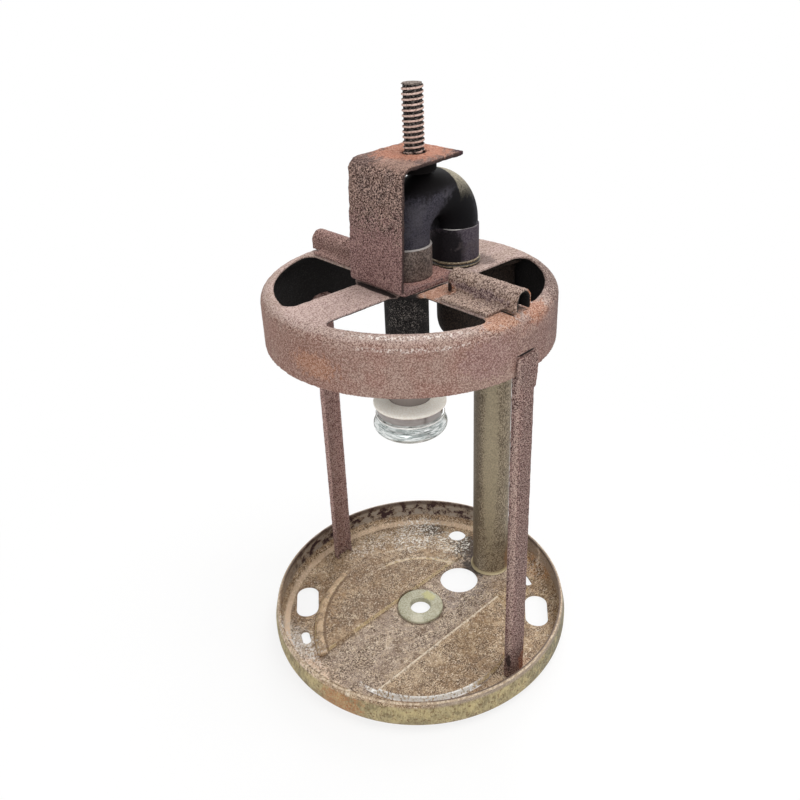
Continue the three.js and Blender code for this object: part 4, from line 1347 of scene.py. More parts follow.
@dataclass
class BasePan(Assembly):
    """The dish with its plateaus, bead, vents and holes, and the bushing in its middle."""

    radius: float = 49.5
    height: float = 10.7
    sheet: float = 1.0
    corner: float = 4.6
    tuck: float = 0.8
    tuck_depth: float = 4.0
    rim_bevel: float = 0.3
    front_edge: float = 15.4
    rear_edge: float = 6.9
    rise: float = 1.2
    slope: tuple[Point2, ...] = ((0.2, 0.08), (0.25, 0.3), (0.25, 0.42), (0.2, 0.3), (0.2, 0.1),
                                 (0.2, 0.0))
    plateau_corner: float = 1.5
    front_radius: float = 30.75
    front_centre: Point2 = (-6.1, -7.0)
    rear_radius: float = 42.3
    rear_centre: Point2 = (0.0, -8.2)
    crease: float = 5.7
    terrace_radius: float = 24.4
    shelf_radius: float = 31.4
    shelf_share: float = 0.5
    top_gap: float = 0.3
    under_gap: float = 0.9
    under_drop: float = 0.05
    bead_radii: Point2 = (38.9, 41.2)
    bead_rise: float = 0.5
    bead_root: float = 0.4
    bead_start: float = 102.5
    bead_sweep: float = 56.0
    vent: Point3 = (7.7, 15.2, 3.7)
    vent_turn: float = 130.5
    vent_reach: float = 40.4
    vent_tilts: Point2 = (12.0, 0.0)
    vent_shifts: Point2 = (-0.5, 1.4)
    small_hole: Point3 = (2.8, 6.2, 1.35)
    small_turn: float = 154.0
    small_reach: float = 40.6
    slit: Point3 = (4.7, 1.0, 0.2)
    slit_reach: float = 42.45
    drain_radius: float = 3.3
    drain_reach: float = 41.2
    drain_turn: float = 25.2
    generator_radius: float = 6.85
    air_tube_radius: float = 6.48
    bushing_hole: float = 4.55
    bushing_radius: float = 7.9
    bushing_bore: float = 3.5
    bushing_neck: float = 4.4
    bushing_lip: Point2 = (5.2, 5.0)
    bushing_flange: float = 1.1
    bushing_top: float = 1.9
    bushing_edge: float = 0.35
    bushing_mouth: float = 0.4
    steps: int = 240

    def beyond(self, edge: float, radius: float, limit: float | None = None) -> list[Point2]:
        """The part of a disc beyond the line y = edge, with round corners.

        Args:
            edge: The line.
            radius: The disc's radius about the origin.
            limit: Where it is cut off to the right, or None.

        Returns:
            The outline.
        """
        corner = self.plateau_corner
        y = edge + corner
        x = sqrt((radius - corner) ** 2 - y ** 2)
        angle = angle_of(x, y)
        left = arc((-x, y), corner, 180 - angle, 270, 6)
        if limit is None:
            right = arc((x, y), corner, -90, angle, 6)
            return arc((0, 0), radius, angle, 180 - angle, 64) + left + right
        start = degrees(acos(limit / radius))
        return arc((0, 0), radius, start, 180 - angle, 48) + left + [(limit, edge)]

    def plateau(self, outline: Sequence[Point2], share: float = 1.0) -> Object:
        """A plateau's solid, from the middle of the sheet up its soft slope to its top.

        Args:
            outline: Its foot.
            share: Its share of the full rise.

        Returns:
            The solid.
        """
        piece = Bench.upright(outline, self.sheet / 2, self.sheet / 2)
        Bench.edit(piece)
        Bench.pick_faces(lambda face: face.normal.z > STEEP)
        for inward, upward in self.slope:
            bpy.ops.mesh.inset(thickness=inward * share * MM, depth=upward * share * MM)
        return Bench.done()

    def relief(self, seat_gap: float) -> Object:
        """All the plateaus in one solid, a gap clear of the bushing's seat."""
        front = turned(self.beyond(self.front_edge + self.front_centre[1], self.front_radius), 180)
        rear = self.beyond(self.rear_edge - self.rear_centre[1], self.rear_radius, self.crease)
        solid = self.plateau(turned(rear, 0, self.rear_centre))
        Bench.unite(solid, self.plateau(self.beyond(self.rear_edge, self.terrace_radius)),
                    self.plateau(self.beyond(self.rear_edge, self.shelf_radius), self.shelf_share),
                    self.plateau(turned(front, 0, self.front_centre)))
        seat = circle((0, 0), self.bushing_radius + seat_gap)
        Bench.cut(solid, Bench.upright(seat, -4 * self.sheet, 9 * self.sheet))
        return solid

    def bead(self) -> Object:
        """The bead along the rear plateau's left edge."""
        foot = self.sheet + self.rise
        inner, outer = self.bead_radii
        middle = (inner + outer) / 2
        half = (outer - inner) / 2
        profile = [(inner, foot - self.bead_root), (outer, foot - self.bead_root)]
        profile += [(middle + x * half, foot + y * self.bead_rise)
                    for x, y in arc((0, 0), 1, 0, 180, 8)]
        start = radians(self.bead_start)
        centre = self.rear_centre[1]
        Bench.draw([(cos(start) * radius, sin(start) * radius + centre, height)
                    for radius, height in profile], closed=True)
        bpy.ops.mesh.edge_face_add()
        bpy.ops.mesh.spin(steps=60, angle=radians(self.bead_sweep),
                          center=(0, centre * MM, 0), axis=(0, 0, -1))
        Bench.weld()
        return Bench.face_out()

    def cutters(self) -> Object:
        """Everything that is cut through the pan."""
        outlines = []
        for turn, tilt, shift in zip((0, 180), self.vent_tilts, self.vent_shifts):
            vent = turned(rounded_box(*self.vent), tilt)
            outlines += [turned(vent, self.vent_turn + turn, (self.vent_reach, shift)),
                         turned(rounded_box(*self.small_hole), self.small_turn + turn,
                                (self.small_reach, 0)),
                         turned(rounded_box(*self.slit, steps=2), LEG_TURN + turn,
                                (0, -self.slit_reach))]
        outlines += [turned(arc((0, 0), self.drain_radius, 0, 355, 40), self.drain_turn,
                            (self.drain_reach, 0)),
                     circle(INLET_PLACE, self.generator_radius),
                     circle(AIR_PLACE, self.air_tube_radius),
                     circle((0, 0), self.bushing_hole)]
        return Bench.gather([Bench.upright(outline, -3 * self.sheet, 9 * self.sheet)
                             for outline in outlines])

    def build(self) -> None:
        """Spins the dish, presses its relief, cuts its holes, and turns the bushing."""
        low = (self.radius - self.corner, self.corner)
        straight = self.height - self.tuck_depth
        mouth = self.radius - self.tuck
        profile = [(0, 0)] + arc(low, self.corner, -90, 0, 10)
        profile += [(self.radius, straight), (mouth, self.height - self.rim_bevel),
                    (mouth - self.rim_bevel, self.height), (mouth - self.sheet, self.height),
                    (self.radius - self.sheet, straight)]
        profile += arc(low, self.corner - self.sheet, 0, -90, 8) + [(0, self.sheet)]
        dish = Bench.spun(profile, self.steps)
        Bench.unite(dish, self.relief(self.top_gap), self.bead())
        under = self.relief(self.under_gap)
        Bench.move(under, shift=(0, 0, -self.sheet - self.under_drop))
        Bench.cut(dish, self.cutters(), under)
        self.hand_over(dish, "pan_dish", "base_pan", Finish.PAN, "plated_pan", sharp=32, even=True)
        self.build_bushing()

    def build_bushing(self) -> None:
        """Turns the flanged bushing."""
        top = self.bushing_top
        bore = self.bushing_bore
        edge = self.bushing_edge
        mouth = self.bushing_mouth
        profile = [(bore, GROUND), (self.bushing_neck, GROUND),
                   (self.bushing_neck, self.bushing_flange),
                   (self.bushing_radius, self.bushing_flange)]
        profile += arc((self.bushing_radius - edge, top - edge), edge, 0, 90, 4)
        profile += [(reach, top) for reach in self.bushing_lip]
        profile += arc((bore + mouth, top - mouth), mouth, 90, 180, 4)
        self.hand_over(Bench.spun(profile, ROUND), "bushing_flange", "pan_bushing", Finish.BUSHING,
                       "pale_zinc", sharp=30)


@dataclass
class Legs(Assembly):
    """The two pressed channels between the pan and the ring."""

    width: float = 7.0
    depth: float = 2.8
    sheet: float = 0.7
    bend: float = 1.1
    face_radius: float = 42.8
    foot: float = 1.1
    head: float = 108.2
    ring_bottom: float = 108.8
    tab_width: float = 8.8
    tab_lap: float = 5.3
    tab_shoulder: float = 5.2
    tab_corner: float = 1.5
    foot_tab: float = 4.4

    def bent(self) -> Object:
        """Bends one leg, with its tabs, and scales it over."""
        half = self.width / 2
        section = bent_strip([(half, self.depth), (half, 0), (-half, 0), (-half, self.depth)],
                             self.sheet, (self.bend, self.bend), 4)
        leg = Bench.upright(section, self.foot, self.head - self.foot)
        shoulder = self.ring_bottom - self.tab_shoulder
        top = self.ring_bottom + self.tab_lap
        side = self.tab_width / 2
        corner = self.tab_corner
        tab = [(-side, self.ring_bottom), (-half, shoulder), (half, shoulder),
               (side, self.ring_bottom)]
        tab += arc((side - corner, top - corner), corner, 0, 90, 5)
        tab += arc((corner - side, top - corner), corner, 90, 180, 5)
        reach = self.foot_tab / 2
        high = self.foot + self.sheet
        tongue = [(-reach, GROUND), (reach, GROUND), (reach, high), (-reach, high)]
        Bench.unite(leg, Bench.lying(tab, 0, self.sheet), Bench.lying(tongue, 0, self.sheet))
        Bench.rust_over(leg, cell=0.32, grain=1.4, depth=0.18)
        return leg

    def build(self) -> None:
        """Bends both legs and sets them in place."""
        for side, turn in (("front", LEG_TURN), ("rear", LEG_TURN + 180)):
            leg = self.bent()
            Bench.move(leg, shift=(0, -self.face_radius, 0))
            Bench.move(leg, turn=turn)
            self.hand_over(leg, f"leg_{side}", f"{side}_leg", Finish.LEG, "scaled_steel",
                           RUSTED_EDGE)


@dataclass
class Bracket(Assembly):
    """The strip bent round the hairpin, and the stud that stands on it."""

    sheet: float = 1.2
    width: float = 21.0
    bend: float = 3.4
    foot_bend: float = 1.7
    foot: float = 124.9
    foot_end: float = 9.2
    wall_foot: float = -13.0
    wall_head: float = -11.1
    head: float = 159.0
    head_end: float = 11.4
    head_rise: float = 1.0
    tube_hole: float = 6.6
    stud_place: Point2 = (3.3, 0.0)
    stud_hole: float = 3.25
    stud_root: float = 2.55
    stud_base: float = 159.64
    stud_top: float = 177.44
    stud_sink: float = 0.35
    pitch: float = 1.37
    ridge: tuple[Point2, ...] = ((2.25, 0.17), (2.87, 0.31), (2.94, 0.36))
    chamfer: float = 0.5
    limit_radius: float = 3.1
    limit_below: float = 1.3
    collar_radius: float = 5.0
    head_radius: float = 6.0
    head_low: float = 154.6
    head_bevels: Point2 = (0.5, 0.3)

    def build(self) -> None:
        """Bends the strip and cuts the stud's thread."""
        section = bent_strip([(self.foot_end, self.foot), (self.wall_foot, self.foot),
                              (self.wall_head, self.head),
                              (self.head_end, self.head + self.head_rise)],
                             self.sheet, (self.foot_bend, self.bend), 8)
        strip = Bench.lying(section, -self.width / 2, self.width)
        Bench.cut(strip, Bench.upright(circle(DOWN_PLACE, self.tube_hole), self.foot - 2, 5),
                  Bench.upright(circle(self.stud_place, self.stud_hole), self.stud_base - 3, 5))
        Bench.rust_over(strip, cell=0.36, grain=1.1, depth=0.3)
        self.hand_over(strip, "bracket_strip", "bracket", Finish.BRACKET, "scaled_steel",
                       RUSTED_EDGE)
        self.build_stud()

    def thread(self) -> Object:
        """A ridge wound round the stud's core."""
        start = self.stud_base - 2 * self.pitch
        turns = int((self.stud_top - start) / self.pitch) + 2
        ridge = [(radius, self.pitch * share) for radius, share in self.ridge]
        ridge += [(radius, self.pitch * (1 - share)) for radius, share in self.ridge[::-1]]
        Bench.draw([(radius, 0, start + height) for radius, height in ridge], closed=True)
        thread = Bench.done()
        Bench.apply(thread, "SCREW", axis="Z", steps=48, render_steps=48, iterations=turns,
                    screw_offset=self.pitch * MM, angle=tau, use_merge_vertices=True,
                    merge_threshold=WELD)
        Bench.move(thread, shift=(*self.stud_place, 0))
        Bench.edit(thread)
        Bench.weld()
        return Bench.close()

    def build_stud(self) -> None:
        """Cuts the thread on a core, trims its tip and gives it its head."""
        under = self.stud_base - self.sheet - self.stud_sink
        neck = self.stud_base - self.limit_below
        reach = self.limit_radius
        limit = [(0, under), (self.collar_radius, under), (self.collar_radius, neck),
                 (reach, neck), (reach, self.stud_top - self.chamfer),
                 (reach - self.chamfer, self.stud_top), (0, self.stud_top)]
        wide = self.head_radius
        low, high = self.head_bevels
        head = [(0, self.head_low), (wide - low, self.head_low), (wide, self.head_low + low),
                (wide, under - high), (wide - high, under), (0, under)]
        core = [(0, under), (self.stud_root, under), (self.stud_root, self.stud_top),
                (0, self.stud_top)]
        stud = Bench.spun(core, STUD_ROUND, self.stud_place)
        Bench.unite(stud, self.thread())
        Bench.fit(stud, Bench.spun(limit, STUD_ROUND, self.stud_place), Joinery.KEEP_COMMON)
        Bench.unite(stud, Bench.spun(head, STUD_ROUND, self.stud_place))
        self.hand_over(stud, "stud_thread", "stud", Finish.STUD, "scaled_steel", sharp=30)


@dataclass
class Saddles(Assembly):
    """The two hat sections lying on the front and rear spokes."""

    base: float = 124.9
    sheet: float = 1.0
    arch_radius: float = 3.0
    arch_rise: float = 3.1
    plate_width: float = 13.8
    plate_start: float = -18.6
    arch_start: float = -15.9
    arch_end: float = -39.6
    plate_end: float = -35.4
    slot: float = 0.45

    def tunnel(self, shift: float, radius: float, low: float, start: float,
               end: float) -> Object:
        """A round-topped bar along Y.

        Args:
            shift: How far it stands off the spoke's middle.
            radius: The radius of its top.
            low: The height of its foot.
            start: Where it starts.
            end: Where it ends, further out.

        Returns:
            The bar.
        """
        outline = [(shift - radius, low), (shift + radius, low)]
        outline += arc((shift, self.base + self.arch_rise), radius, 0, 180, 24)
        return Bench.lying(outline, end, start - end)

    def pressed(self, shift: float) -> Object:
        """Presses one saddle, its arch shifted off the spoke's middle, and scales it over."""
        half = self.plate_width / 2
        radius = self.arch_radius
        piece = Bench.upright([(-half, self.plate_start), (half, self.plate_start),
                               (half, self.plate_end), (-half, self.plate_end)],
                              self.base, self.sheet)
        Bench.unite(piece, self.tunnel(shift, radius, self.base + self.slot, self.arch_start,
                                       self.arch_end),
                    self.tunnel(shift, radius, self.base, self.arch_start, self.plate_end))
        Bench.cut(piece, self.tunnel(shift, radius - self.sheet, self.base - 2,
                                     self.arch_start + 2, self.arch_end - 2))
        Bench.rust_over(piece, cell=0.28, grain=1.0, depth=0.3)
        return piece

    def build(self) -> None:
        """Presses both saddles and turns them into place."""
        for side, finish, shift, turn in (("front", Finish.SADDLE_FRONT, 2.3, 0),
                                          ("rear", Finish.SADDLE_REAR, 1.0, 180)):
            piece = self.pressed(shift)
            Bench.move(piece, turn=turn)
            self.hand_over(piece, f"saddle_{side}", f"{side}_saddle", finish,
                           "pale_scaled_steel", RUSTED_EDGE)


@dataclass
class Hairpin(Assembly):
    """The hairpin tube, the sleeves at its feet and the ferrule."""

    inner_x: float = -1.1
    outer_x: float = SLEEVE_PLACE[0]
    radius: float = 6.9
    wall: float = 0.8
    foot: float = 126.2
    bend_start: float = 137.5
    web_reach: float = 0.5
    web_gap: float = 0.15
    web_sheet: float = 1.6
    bore: float = 6.95
    lip_share: float = 0.6
    collar_radius: float = 7.45
    sleeve_radius: float = 7.25
    collar_top: float = 135.3
    sleeve_foot: float = 123.9
    sleeve_top: float = 136.5
    ferrule_low: float = 124.9
    ferrule_high: float = 126.7
    ferrule_gap: float = 0.02
    steps: int = 72

    @property
    def middle(self) -> float:
        """The X of the middle of the bend."""
        return (self.inner_x + self.outer_x) / 2

    def tube(self) -> Object:
        """Draws the tube: up one leg, round the bend and down the other."""
        bpy.ops.object.select_all(action="DESELECT")
        bpy.ops.mesh.primitive_circle_add(vertices=self.steps, radius=self.radius * MM,
                                          location=(self.inner_x * MM, 0, self.foot * MM))
        bpy.ops.object.mode_set(mode="EDIT")
        bpy.ops.mesh.select_all(action="SELECT")
        rise = self.bend_start - self.foot
        Bench.pull(Vector((0, 0, rise)))
        bpy.ops.mesh.spin(steps=48, angle=pi, axis=(0, -1, 0), use_auto_merge=False,
                          center=(self.middle * MM, 0, self.bend_start * MM))
        Bench.pull(Vector((0, 0, -rise)))
        Bench.weld()
        return Bench.face_out()

    def crotch_web(self) -> Object:
        """A thin sheet that closes the crotch of the bend, coloured dark by the hairpin's painted
        crotch shade.
        """
        reach = self.outer_x - self.middle - self.radius + self.web_reach
        low = self.sleeve_top + self.web_gap
        outline = [(self.middle - reach, low), (self.middle + reach, low)]
        outline += arc((self.middle, self.bend_start), reach, 0, 180, 16)
        return Bench.lying(outline, -self.web_sheet / 2, self.web_sheet)

    def sleeve(self, place: float, outer: float, foot: float, top: float) -> Object:
        """Spins a thin sleeve with a rounded top edge."""
        lip = (outer - self.bore) * self.lip_share
        profile = [(self.bore, foot), (outer, foot)]
        profile += arc((outer - lip, top - lip), lip, 0, 90, 5)
        profile += [(self.bore, top)]
        return Bench.spun(profile, ROUND, (place, 0))

    def ferrule(self) -> Object:
        """Spins the ferrule with its two round beads."""
        low = self.ferrule_low
        high = self.ferrule_high
        inner = self.sleeve_radius + self.ferrule_gap
        ring = [(inner, low), (inner + 0.3, low)] + arc((inner + 0.22, low + 0.4), 0.2, -60, 60, 5)
        ring += [(inner + 0.08, low + 0.95)] + arc((inner + 0.12, high - 0.35), 0.22, -60, 90, 6)
        return Bench.spun(ring + [(inner, high)], ROUND, (self.outer_x, 0))

    def build(self) -> None:
        """Bends the tube and turns what stands round its feet."""
        tube = self.tube()
        Bench.apply(tube, "SOLIDIFY", thickness=self.wall * MM, offset=-1)
        Bench.unite(tube, self.crotch_web())
        self.hand_over(tube, "hairpin_bend", "hairpin_tube", Finish.HAIRPIN, "charcoal_tube")
        collar = self.sleeve(self.inner_x, self.collar_radius, self.foot, self.collar_top)
        self.hand_over(collar, "collar_inner", "centre_collar", Finish.COLLAR, "grey_collar")
        sleeve = self.sleeve(self.outer_x, self.sleeve_radius, self.sleeve_foot, self.sleeve_top)
        self.hand_over(sleeve, "sleeve_outer", "outer_sleeve", Finish.SLEEVE, "charcoal_tube")
        self.hand_over(self.ferrule(), "ferrule_band", "outer_ferrule", Finish.BRASS, "dull_brass")


@dataclass
class GasWay(Assembly):
    """The air tube, the mixing chamber, the down tube and the burner at its foot."""

    air_radius: float = 6.33
    air_bore: float = 5.73
    air_foot: float = 1.1
    air_top: float = 101.2
    fillet: Point2 = (0.75, 0.9)
    fillet_start: float = 0.8
    chamber_bottom: float = 101.3
    chamber_rim: float = 123.6
    chamber_end: float = 6.43
    inlet_end: float = 6.3
    funnel_height: float = 6.1
    corner: float = 2.2
    chamber_sheet: float = 0.8
    chamber_flange: float = 3.0
    neck_radius: float = 5.6
    neck_drop: float = 5.0
    lip_radius: float = 3.5
    lip_wall: float = 0.45
    lip_drop: float = 1.6
    hoop_inside: float = 40.7
    hoop_shoulder: float = 121.4
    down_radius: float = 6.45
    down_wall: float = 0.8
    down_swell: float = 0.4
    down_foot: float = 81.2
    down_band: tuple[float, ...] = (118.6, 119.2, 122.9, 123.4)
    down_top: float = 126.1
    burner_bore: float = 6.6
    flange_low: float = 84.3
    flange_radius: float = 11.2
    cap_top: float = 84.2
    cap_radius: float = 10.1
    cap_inside: float = 9.1
    cap_lip: float = 80.7
    bulb_height: float = 77.6
    bulb_mouth: float = 7.6
    bulb_outer: Point2 = (3.85, 2.75)
    bulb_inner: Point2 = (2.85, 2.2)
    bulb_foot: float = 74.5
    gauze_radius: float = 9.5
    gauze_heights: Point2 = (78.95, 77.85)
    gauze_mesh: float = 0.8
    wire_radius: float = 0.11
    wire_wave: float = 0.12

    def oval(self, inlet: float, end: float, height: float) -> list[Point3]:
        """The chamber's outline round both ends, each with its radius, at a height."""
        apart = dist(AIR_PLACE, INLET_PLACE)
        lean = degrees(asin((end - inlet) / apart))
        heading = angle_of(AIR_PLACE[0] - INLET_PLACE[0],
                           AIR_PLACE[1] - INLET_PLACE[1])
        outline = arc(AIR_PLACE, end, heading - 90 - lean, heading + 90 + lean, 32)
        outline += arc(INLET_PLACE, inlet, heading + 90 + lean, heading + 270 - lean, 32)
        return at_height(outline, height)

    def cup(self, inset: float, bottom: float, top: float) -> Object:
        """The chamber's solid, set in by a distance."""
        corner = self.corner - inset
        side = self.chamber_end - inset
        shoulder = self.chamber_bottom + self.funnel_height
        levels = [(bottom + corner + y, side - corner + x)
                  for x, y in arc((0, 0), corner, -90, 0, 6)]
        levels += [(shoulder - drop, side) for drop in (3.0, 2.0, 1.0, 0)]
        outlines = []
        for height, end in levels + [(top, side)]:
            share = max(0.0, (shoulder - height) / self.funnel_height)
            swell = sqrt(max(0.0, 1 - share ** 2))
            inlet = self.lip_radius + (self.inlet_end - self.lip_radius) * swell
            outlines.append(self.oval(inlet - inset, end, height))
        return Bench.loft(outlines)

    def build_chamber(self) -> None:
        """Presses the chamber, with its neck, inlet and rim."""
        sheet = self.chamber_sheet
        bottom = self.chamber_bottom
        rim = self.chamber_rim
        neck = bottom - self.neck_drop
        lip = bottom - self.lip_drop
        cup = self.cup(0, bottom, rim)
        flange = self.oval(self.inlet_end + self.chamber_flange,
                           self.chamber_end + self.chamber_flange, rim - sheet)
        Bench.unite(cup, Bench.slab(flange, (0, 0, sheet)),
                    Bench.rod(self.neck_radius, neck, bottom + self.corner, AIR_PLACE),
                    Bench.rod(self.lip_radius, lip, bottom + sheet, INLET_PLACE))
        Bench.cut(cup, self.cup(sheet, bottom + sheet, rim + 1),
                  Bench.rod(self.neck_radius - sheet, neck - 1, bottom + self.corner + 1,
                            AIR_PLACE),
                  Bench.rod(self.lip_radius - self.lip_wall, lip - 1, bottom + sheet + 1,
                            INLET_PLACE))
        inside = self.hoop_inside
        shoulder = self.hoop_shoulder
        hollow = [(0, neck - 2), (inside, neck - 2), (inside, shoulder)]
        hollow += arc((inside - self.corner, shoulder), self.corner, 10, 90, 8)
        hollow += [(0, shoulder + self.corner)]
        Bench.fit(cup, Bench.spun(hollow, 2 * ROUND), Joinery.KEEP_COMMON)
        self.hand_over(cup, "mixing_cup", "mixing_chamber", Finish.CHAMBER, "sooted_tube")

    def wire(self, odd: int, phase: float, count: int) -> Object:
        """Every second wire of one direction, waved over and under the others.

        Args:
            odd: 0 or 1, which wires they are.
            phase: Where the wave starts.
            count: How many wires the gauze has on each side of its middle.

        Returns:
            The wires, side by side.
        """
        mesh = self.gauze_mesh
        reach = (count + 0.5) * mesh
        steps = (2 * count + 1) * 4
        places = [-reach + 2 * reach * step / steps for step in range(steps + 1)]
        Bench.draw([(x, (odd - count) * mesh,
                     self.wire_wave * cos(pi * (x / mesh + odd) + phase))
                    for x in places], closed=False)
        Bench.done()
        bpy.ops.object.convert(target="CURVE")
        curve = bpy.context.active_object.data
        curve.bevel_depth = self.wire_radius * MM
        curve.bevel_resolution = 1
        curve.use_fill_caps = True
        bpy.ops.object.convert(target="MESH")
        wire = bpy.context.active_object
        Bench.edit(wire)
        Bench.weld()
        Bench.face_out()
        Bench.apply(wire, "ARRAY", count=count + 1 - odd, use_relative_offset=False,
                    use_constant_offset=True, constant_offset_displace=(0, 2 * mesh * MM, 0))
        return wire

    def build_gauze(self) -> None:
        """Weaves the two discs of wire gauze in the burner."""
        count = int(self.gauze_radius / self.gauze_mesh)
        for number, height in enumerate(self.gauze_heights, 1):
            layers = []
            for turn in (0, 90):
                phase = radians(2 * turn)
                layer = Bench.gather([self.wire(odd, phase, count) for odd in (0, 1)])
                Bench.move(layer, turn=turn)
                layers.append(layer)
            cloth = Bench.gather(layers)
            Bench.fit(cloth, Bench.rod(self.gauze_radius, -1, 1, (0, 0)), Joinery.KEEP_COMMON)
            Bench.move(cloth, shift=(*DOWN_PLACE, height))
            self.hand_over(cloth, f"gauze_disc_{number}", f"gauze_{number}", Finish.GAUZE,
                           "wire_gauze", sharp=60)

    def build_air_tube(self) -> None:
        """Turns the air tube, with its hollow fillet on the pan."""
        foot = self.air_foot
        radius = self.air_radius
        start = radius + self.fillet_start
        across, up = self.fillet
        profile = [(self.air_bore, GROUND), (radius, GROUND), (radius, foot), (start, foot)]
        profile += [(start - across * sin(radians(a)),
                     foot + up * (1 - cos(radians(a)))) for a in range(15, 90, 15)]
        profile += [(radius, foot + 0.95), (radius, self.air_top - 0.3),
                    (radius - 0.2, self.air_top), (self.air_bore, self.air_top)]
        self.hand_over(Bench.spun(profile, ROUND, AIR_PLACE), "air_pipe", "air_tube",
                       Finish.AIR_TUBE, "olive_tube")

    def build_down_tube(self) -> None:
        """Turns the down tube, a little wider just under the ring's web."""
        outer = self.down_radius
        bore = outer - self.down_wall
        wide = outer + self.down_swell
        radii = (outer, wide, wide, outer)
        profile = [(bore, self.down_foot), (outer, self.down_foot), *zip(radii, self.down_band),
                   (outer, self.down_top), (bore, self.down_top)]
        self.hand_over(Bench.spun(profile, ROUND, DOWN_PLACE), "down_pipe", "down_tube",
                       Finish.DOWN_TUBE, "sooted_tube")

    def build_burner(self) -> None:
        """Turns the flange and the cap."""
        bore = self.burner_bore
        low = self.flange_low
        wide = self.flange_radius
        edge = 0.35
        flange = [(bore, low), (wide - 0.3, low)]
        flange += arc((wide - edge, low + edge), edge, -60, 0, 3)
        flange += oval_arc((bore, low + 2 * edge), (wide - bore, 1.3), range(0, 91, 9))
        self.hand_over(Bench.spun(flange, ROUND, DOWN_PLACE), "burner_shoulder",
                       "burner_flange", Finish.FLANGE, "ashen_flange")
        top = self.cap_top
        lip = self.cap_lip
        foot = self.bulb_foot
        mouth = self.bulb_mouth
        centre = (mouth, self.bulb_height)
        cap = [(bore, top), (self.cap_radius, top), (self.cap_radius, lip + 0.5)]
        cap += arc((self.cap_radius + 0.25, lip + 0.15), edge, 60, -60, 5)
        cap += [(self.cap_radius + 0.3, lip - edge)]
        cap += oval_arc(centre, self.bulb_outer, range(45, -76, -8))
        cap += [(mouth + 0.6, foot), (mouth + 0.1, foot), (mouth, foot + 0.4)]
        cap += oval_arc(centre, self.bulb_inner, range(-75, 46, 12))
        cap += [(self.cap_inside, lip + 0.4), (self.cap_inside, top - 1), (bore, top - 1)]
        self.hand_over(Bench.spun(cap, ROUND, DOWN_PLACE), "burner_bulb", "burner_cap",
                       Finish.CAP, "silvered_cap")

    def build(self) -> None:
        """Turns and presses the pieces of the gas way."""
        self.build_air_tube()
        self.build_chamber()
        self.build_down_tube()
        self.build_burner()
        self.build_gauze()


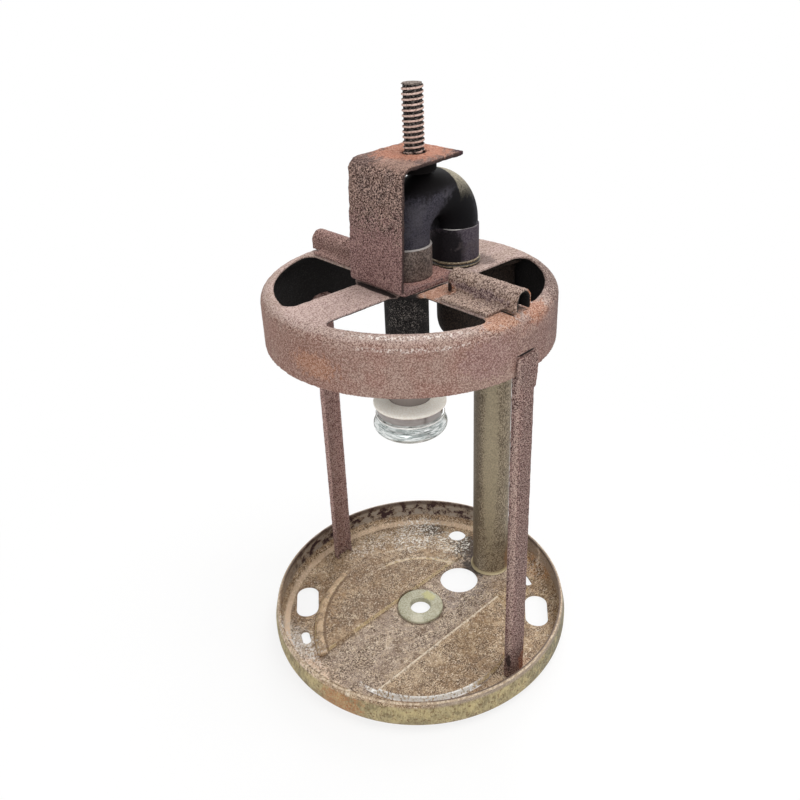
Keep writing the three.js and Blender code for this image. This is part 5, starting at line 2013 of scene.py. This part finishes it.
@dataclass
class Studio:
    """The floor, the light and the camera."""

    camera_place: Point3 = (-143.831, -155.424, 205.695)
    yaw: float = 0.808
    pitch: float = -0.449
    roll: float = -0.027
    focal_pixels: float = 795.966
    centre_pixel: Point2 = (423.052, 343.546)
    frame_pixels: float = 800.0
    sensor: float = 36.0
    world_light: float = 0.5
    floor_fade: Point2 = (60.0, 180.0)
    aim: Point3 = (0.0, 0.0, 90.0)

    def camera(self) -> None:
        """Sets the camera where the photograph was taken from."""
        ahead = Vector((cos(self.yaw) * cos(self.pitch),
                        sin(self.yaw) * cos(self.pitch), sin(self.pitch)))
        right = Vector((sin(self.yaw), -cos(self.yaw), 0))
        above = right.cross(ahead)
        side = right * cos(self.roll) + above * sin(self.roll)
        up = above * cos(self.roll) - right * sin(self.roll)
        lens = bpy.data.cameras.new("photo_camera")
        lens.sensor_width = self.sensor
        lens.lens = self.sensor * self.focal_pixels / self.frame_pixels
        lens.shift_x = (self.frame_pixels / 2 - self.centre_pixel[0]) / self.frame_pixels
        lens.shift_y = (self.centre_pixel[1] - self.frame_pixels / 2) / self.frame_pixels
        lens.clip_start = 0.01
        camera = bpy.data.objects.new("photo_camera", lens)
        bpy.context.scene.collection.objects.link(camera)
        axes = Matrix((side, up, -ahead)).transposed().to_4x4()
        camera.matrix_world = Matrix.Translation(Vector(self.camera_place) * MM) @ axes
        bpy.context.scene.camera = camera

    @staticmethod
    def seen(tree: NodeTree) -> NodeSocket:
        """1 for rays from the camera, a reflection or glass, and 0 for the rest."""
        path = tree.nodes.new("ShaderNodeLightPath")
        total = path.outputs["Is Camera Ray"]
        for name in ("Is Glossy Ray", "Is Transmission Ray"):
            most = tree.nodes.new("ShaderNodeMath")
            most.operation = "MAXIMUM"
            tree.links.new(total, most.inputs[0])
            tree.links.new(path.outputs[name], most.inputs[1])
            total = most.outputs[0]
        return total

    @staticmethod
    def blend(tree: NodeTree, parts: Sequence[NodeSocket], target: Any) -> None:
        """Leads two shaders, mixed by a share that comes first, into an output node."""
        mix = tree.nodes.new("ShaderNodeMixShader")
        for part, entry in zip(parts, mix.inputs):
            tree.links.new(part, entry)
        tree.links.new(mix.outputs[0], target.inputs[0])

    def world(self) -> None:
        """Lights the room softly, behind a white background."""
        world = bpy.data.worlds.new("room")
        bpy.context.scene.world = world
        world.use_nodes = True
        tree = world.node_tree
        tree.nodes.clear()
        room = tree.nodes.new("ShaderNodeBackground")
        room.inputs["Color"].default_value = (1, 0.99, 0.97, 1)
        room.inputs["Strength"].default_value = self.world_light
        white = tree.nodes.new("ShaderNodeBackground")
        white.inputs["Color"].default_value = (1, 1, 1, 1)
        self.blend(tree, (self.seen(tree), room.outputs[0], white.outputs[0]),
                   tree.nodes.new("ShaderNodeOutputWorld"))

    def floor(self) -> None:
        """Lays the pale floor, which keeps the object's shadow."""
        bpy.ops.object.select_all(action="DESELECT")
        bpy.ops.mesh.primitive_plane_add(size=4, location=(0, 0, -0.0001))
        floor = bpy.context.active_object
        floor.name = "studio_floor"
        recipe = Recipe("floor_paper")
        recipe.finish((238, 238, 238), 0.9, Specular_IOR_Level=0.0)
        tree = recipe.tree
        glow = tree.nodes.new("ShaderNodeEmission")
        glow.inputs["Color"].default_value = (1, 1, 1, 1)
        far = recipe.radius().step(*self.floor_fade) * 0.2 + 0.8
        share = Sock(recipe, self.seen(tree)) * far
        self.blend(tree, (share.socket, recipe.shader.outputs[0], glow.outputs[0]),
                   tree.nodes["Material Output"])
        floor.data.materials.append(recipe.material)

    def lamp(self, name: str, place: Point3, size: float, watts: float) -> None:
        """Hangs a square soft lamp that looks at the middle of the object.

        Args:
            name: Its name.
            place: Where it hangs.
            size: Its side.
            watts: Its power.
        """
        light = bpy.data.lights.new(name, "AREA")
        light.size = size * MM
        light.energy = watts
        lamp = bpy.data.objects.new(name, light)
        bpy.context.scene.collection.objects.link(lamp)
        way = Vector(self.aim) - Vector(place)
        turn = way.to_track_quat("-Z", "Y").to_matrix().to_4x4()
        lamp.matrix_world = Matrix.Translation(Vector(place) * MM) @ turn

    def build(self) -> None:
        """Sets up the whole studio."""
        self.camera()
        self.world()
        self.floor()
        self.lamp("key_lamp", (300, -450, 1500), 900, 13)
        self.lamp("fill_lamp", (-1100, -700, 700), 900, 6)
        self.lamp("back_lamp", (900, 500, 900), 700, 7)
        view = bpy.context.scene.view_settings
        view.view_transform = "Standard"


def corners(box: Sequence[Vector]) -> list[list[float]]:
    """A box's corners as plain lists."""
    return [list(map(float, corner)) for corner in box]


def main() -> None:
    """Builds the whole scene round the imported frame."""
    logging.basicConfig(level=logging.INFO, format="%(message)s")
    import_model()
    for assembly in (TopRing(), BasePan(), Legs(), Bracket(), Saddles(), Hairpin(), GasWay()):
        assembly.build()
        LOG.info("built %s", type(assembly).__name__)
    Studio().build()


if __name__ == "__main__":
    main()
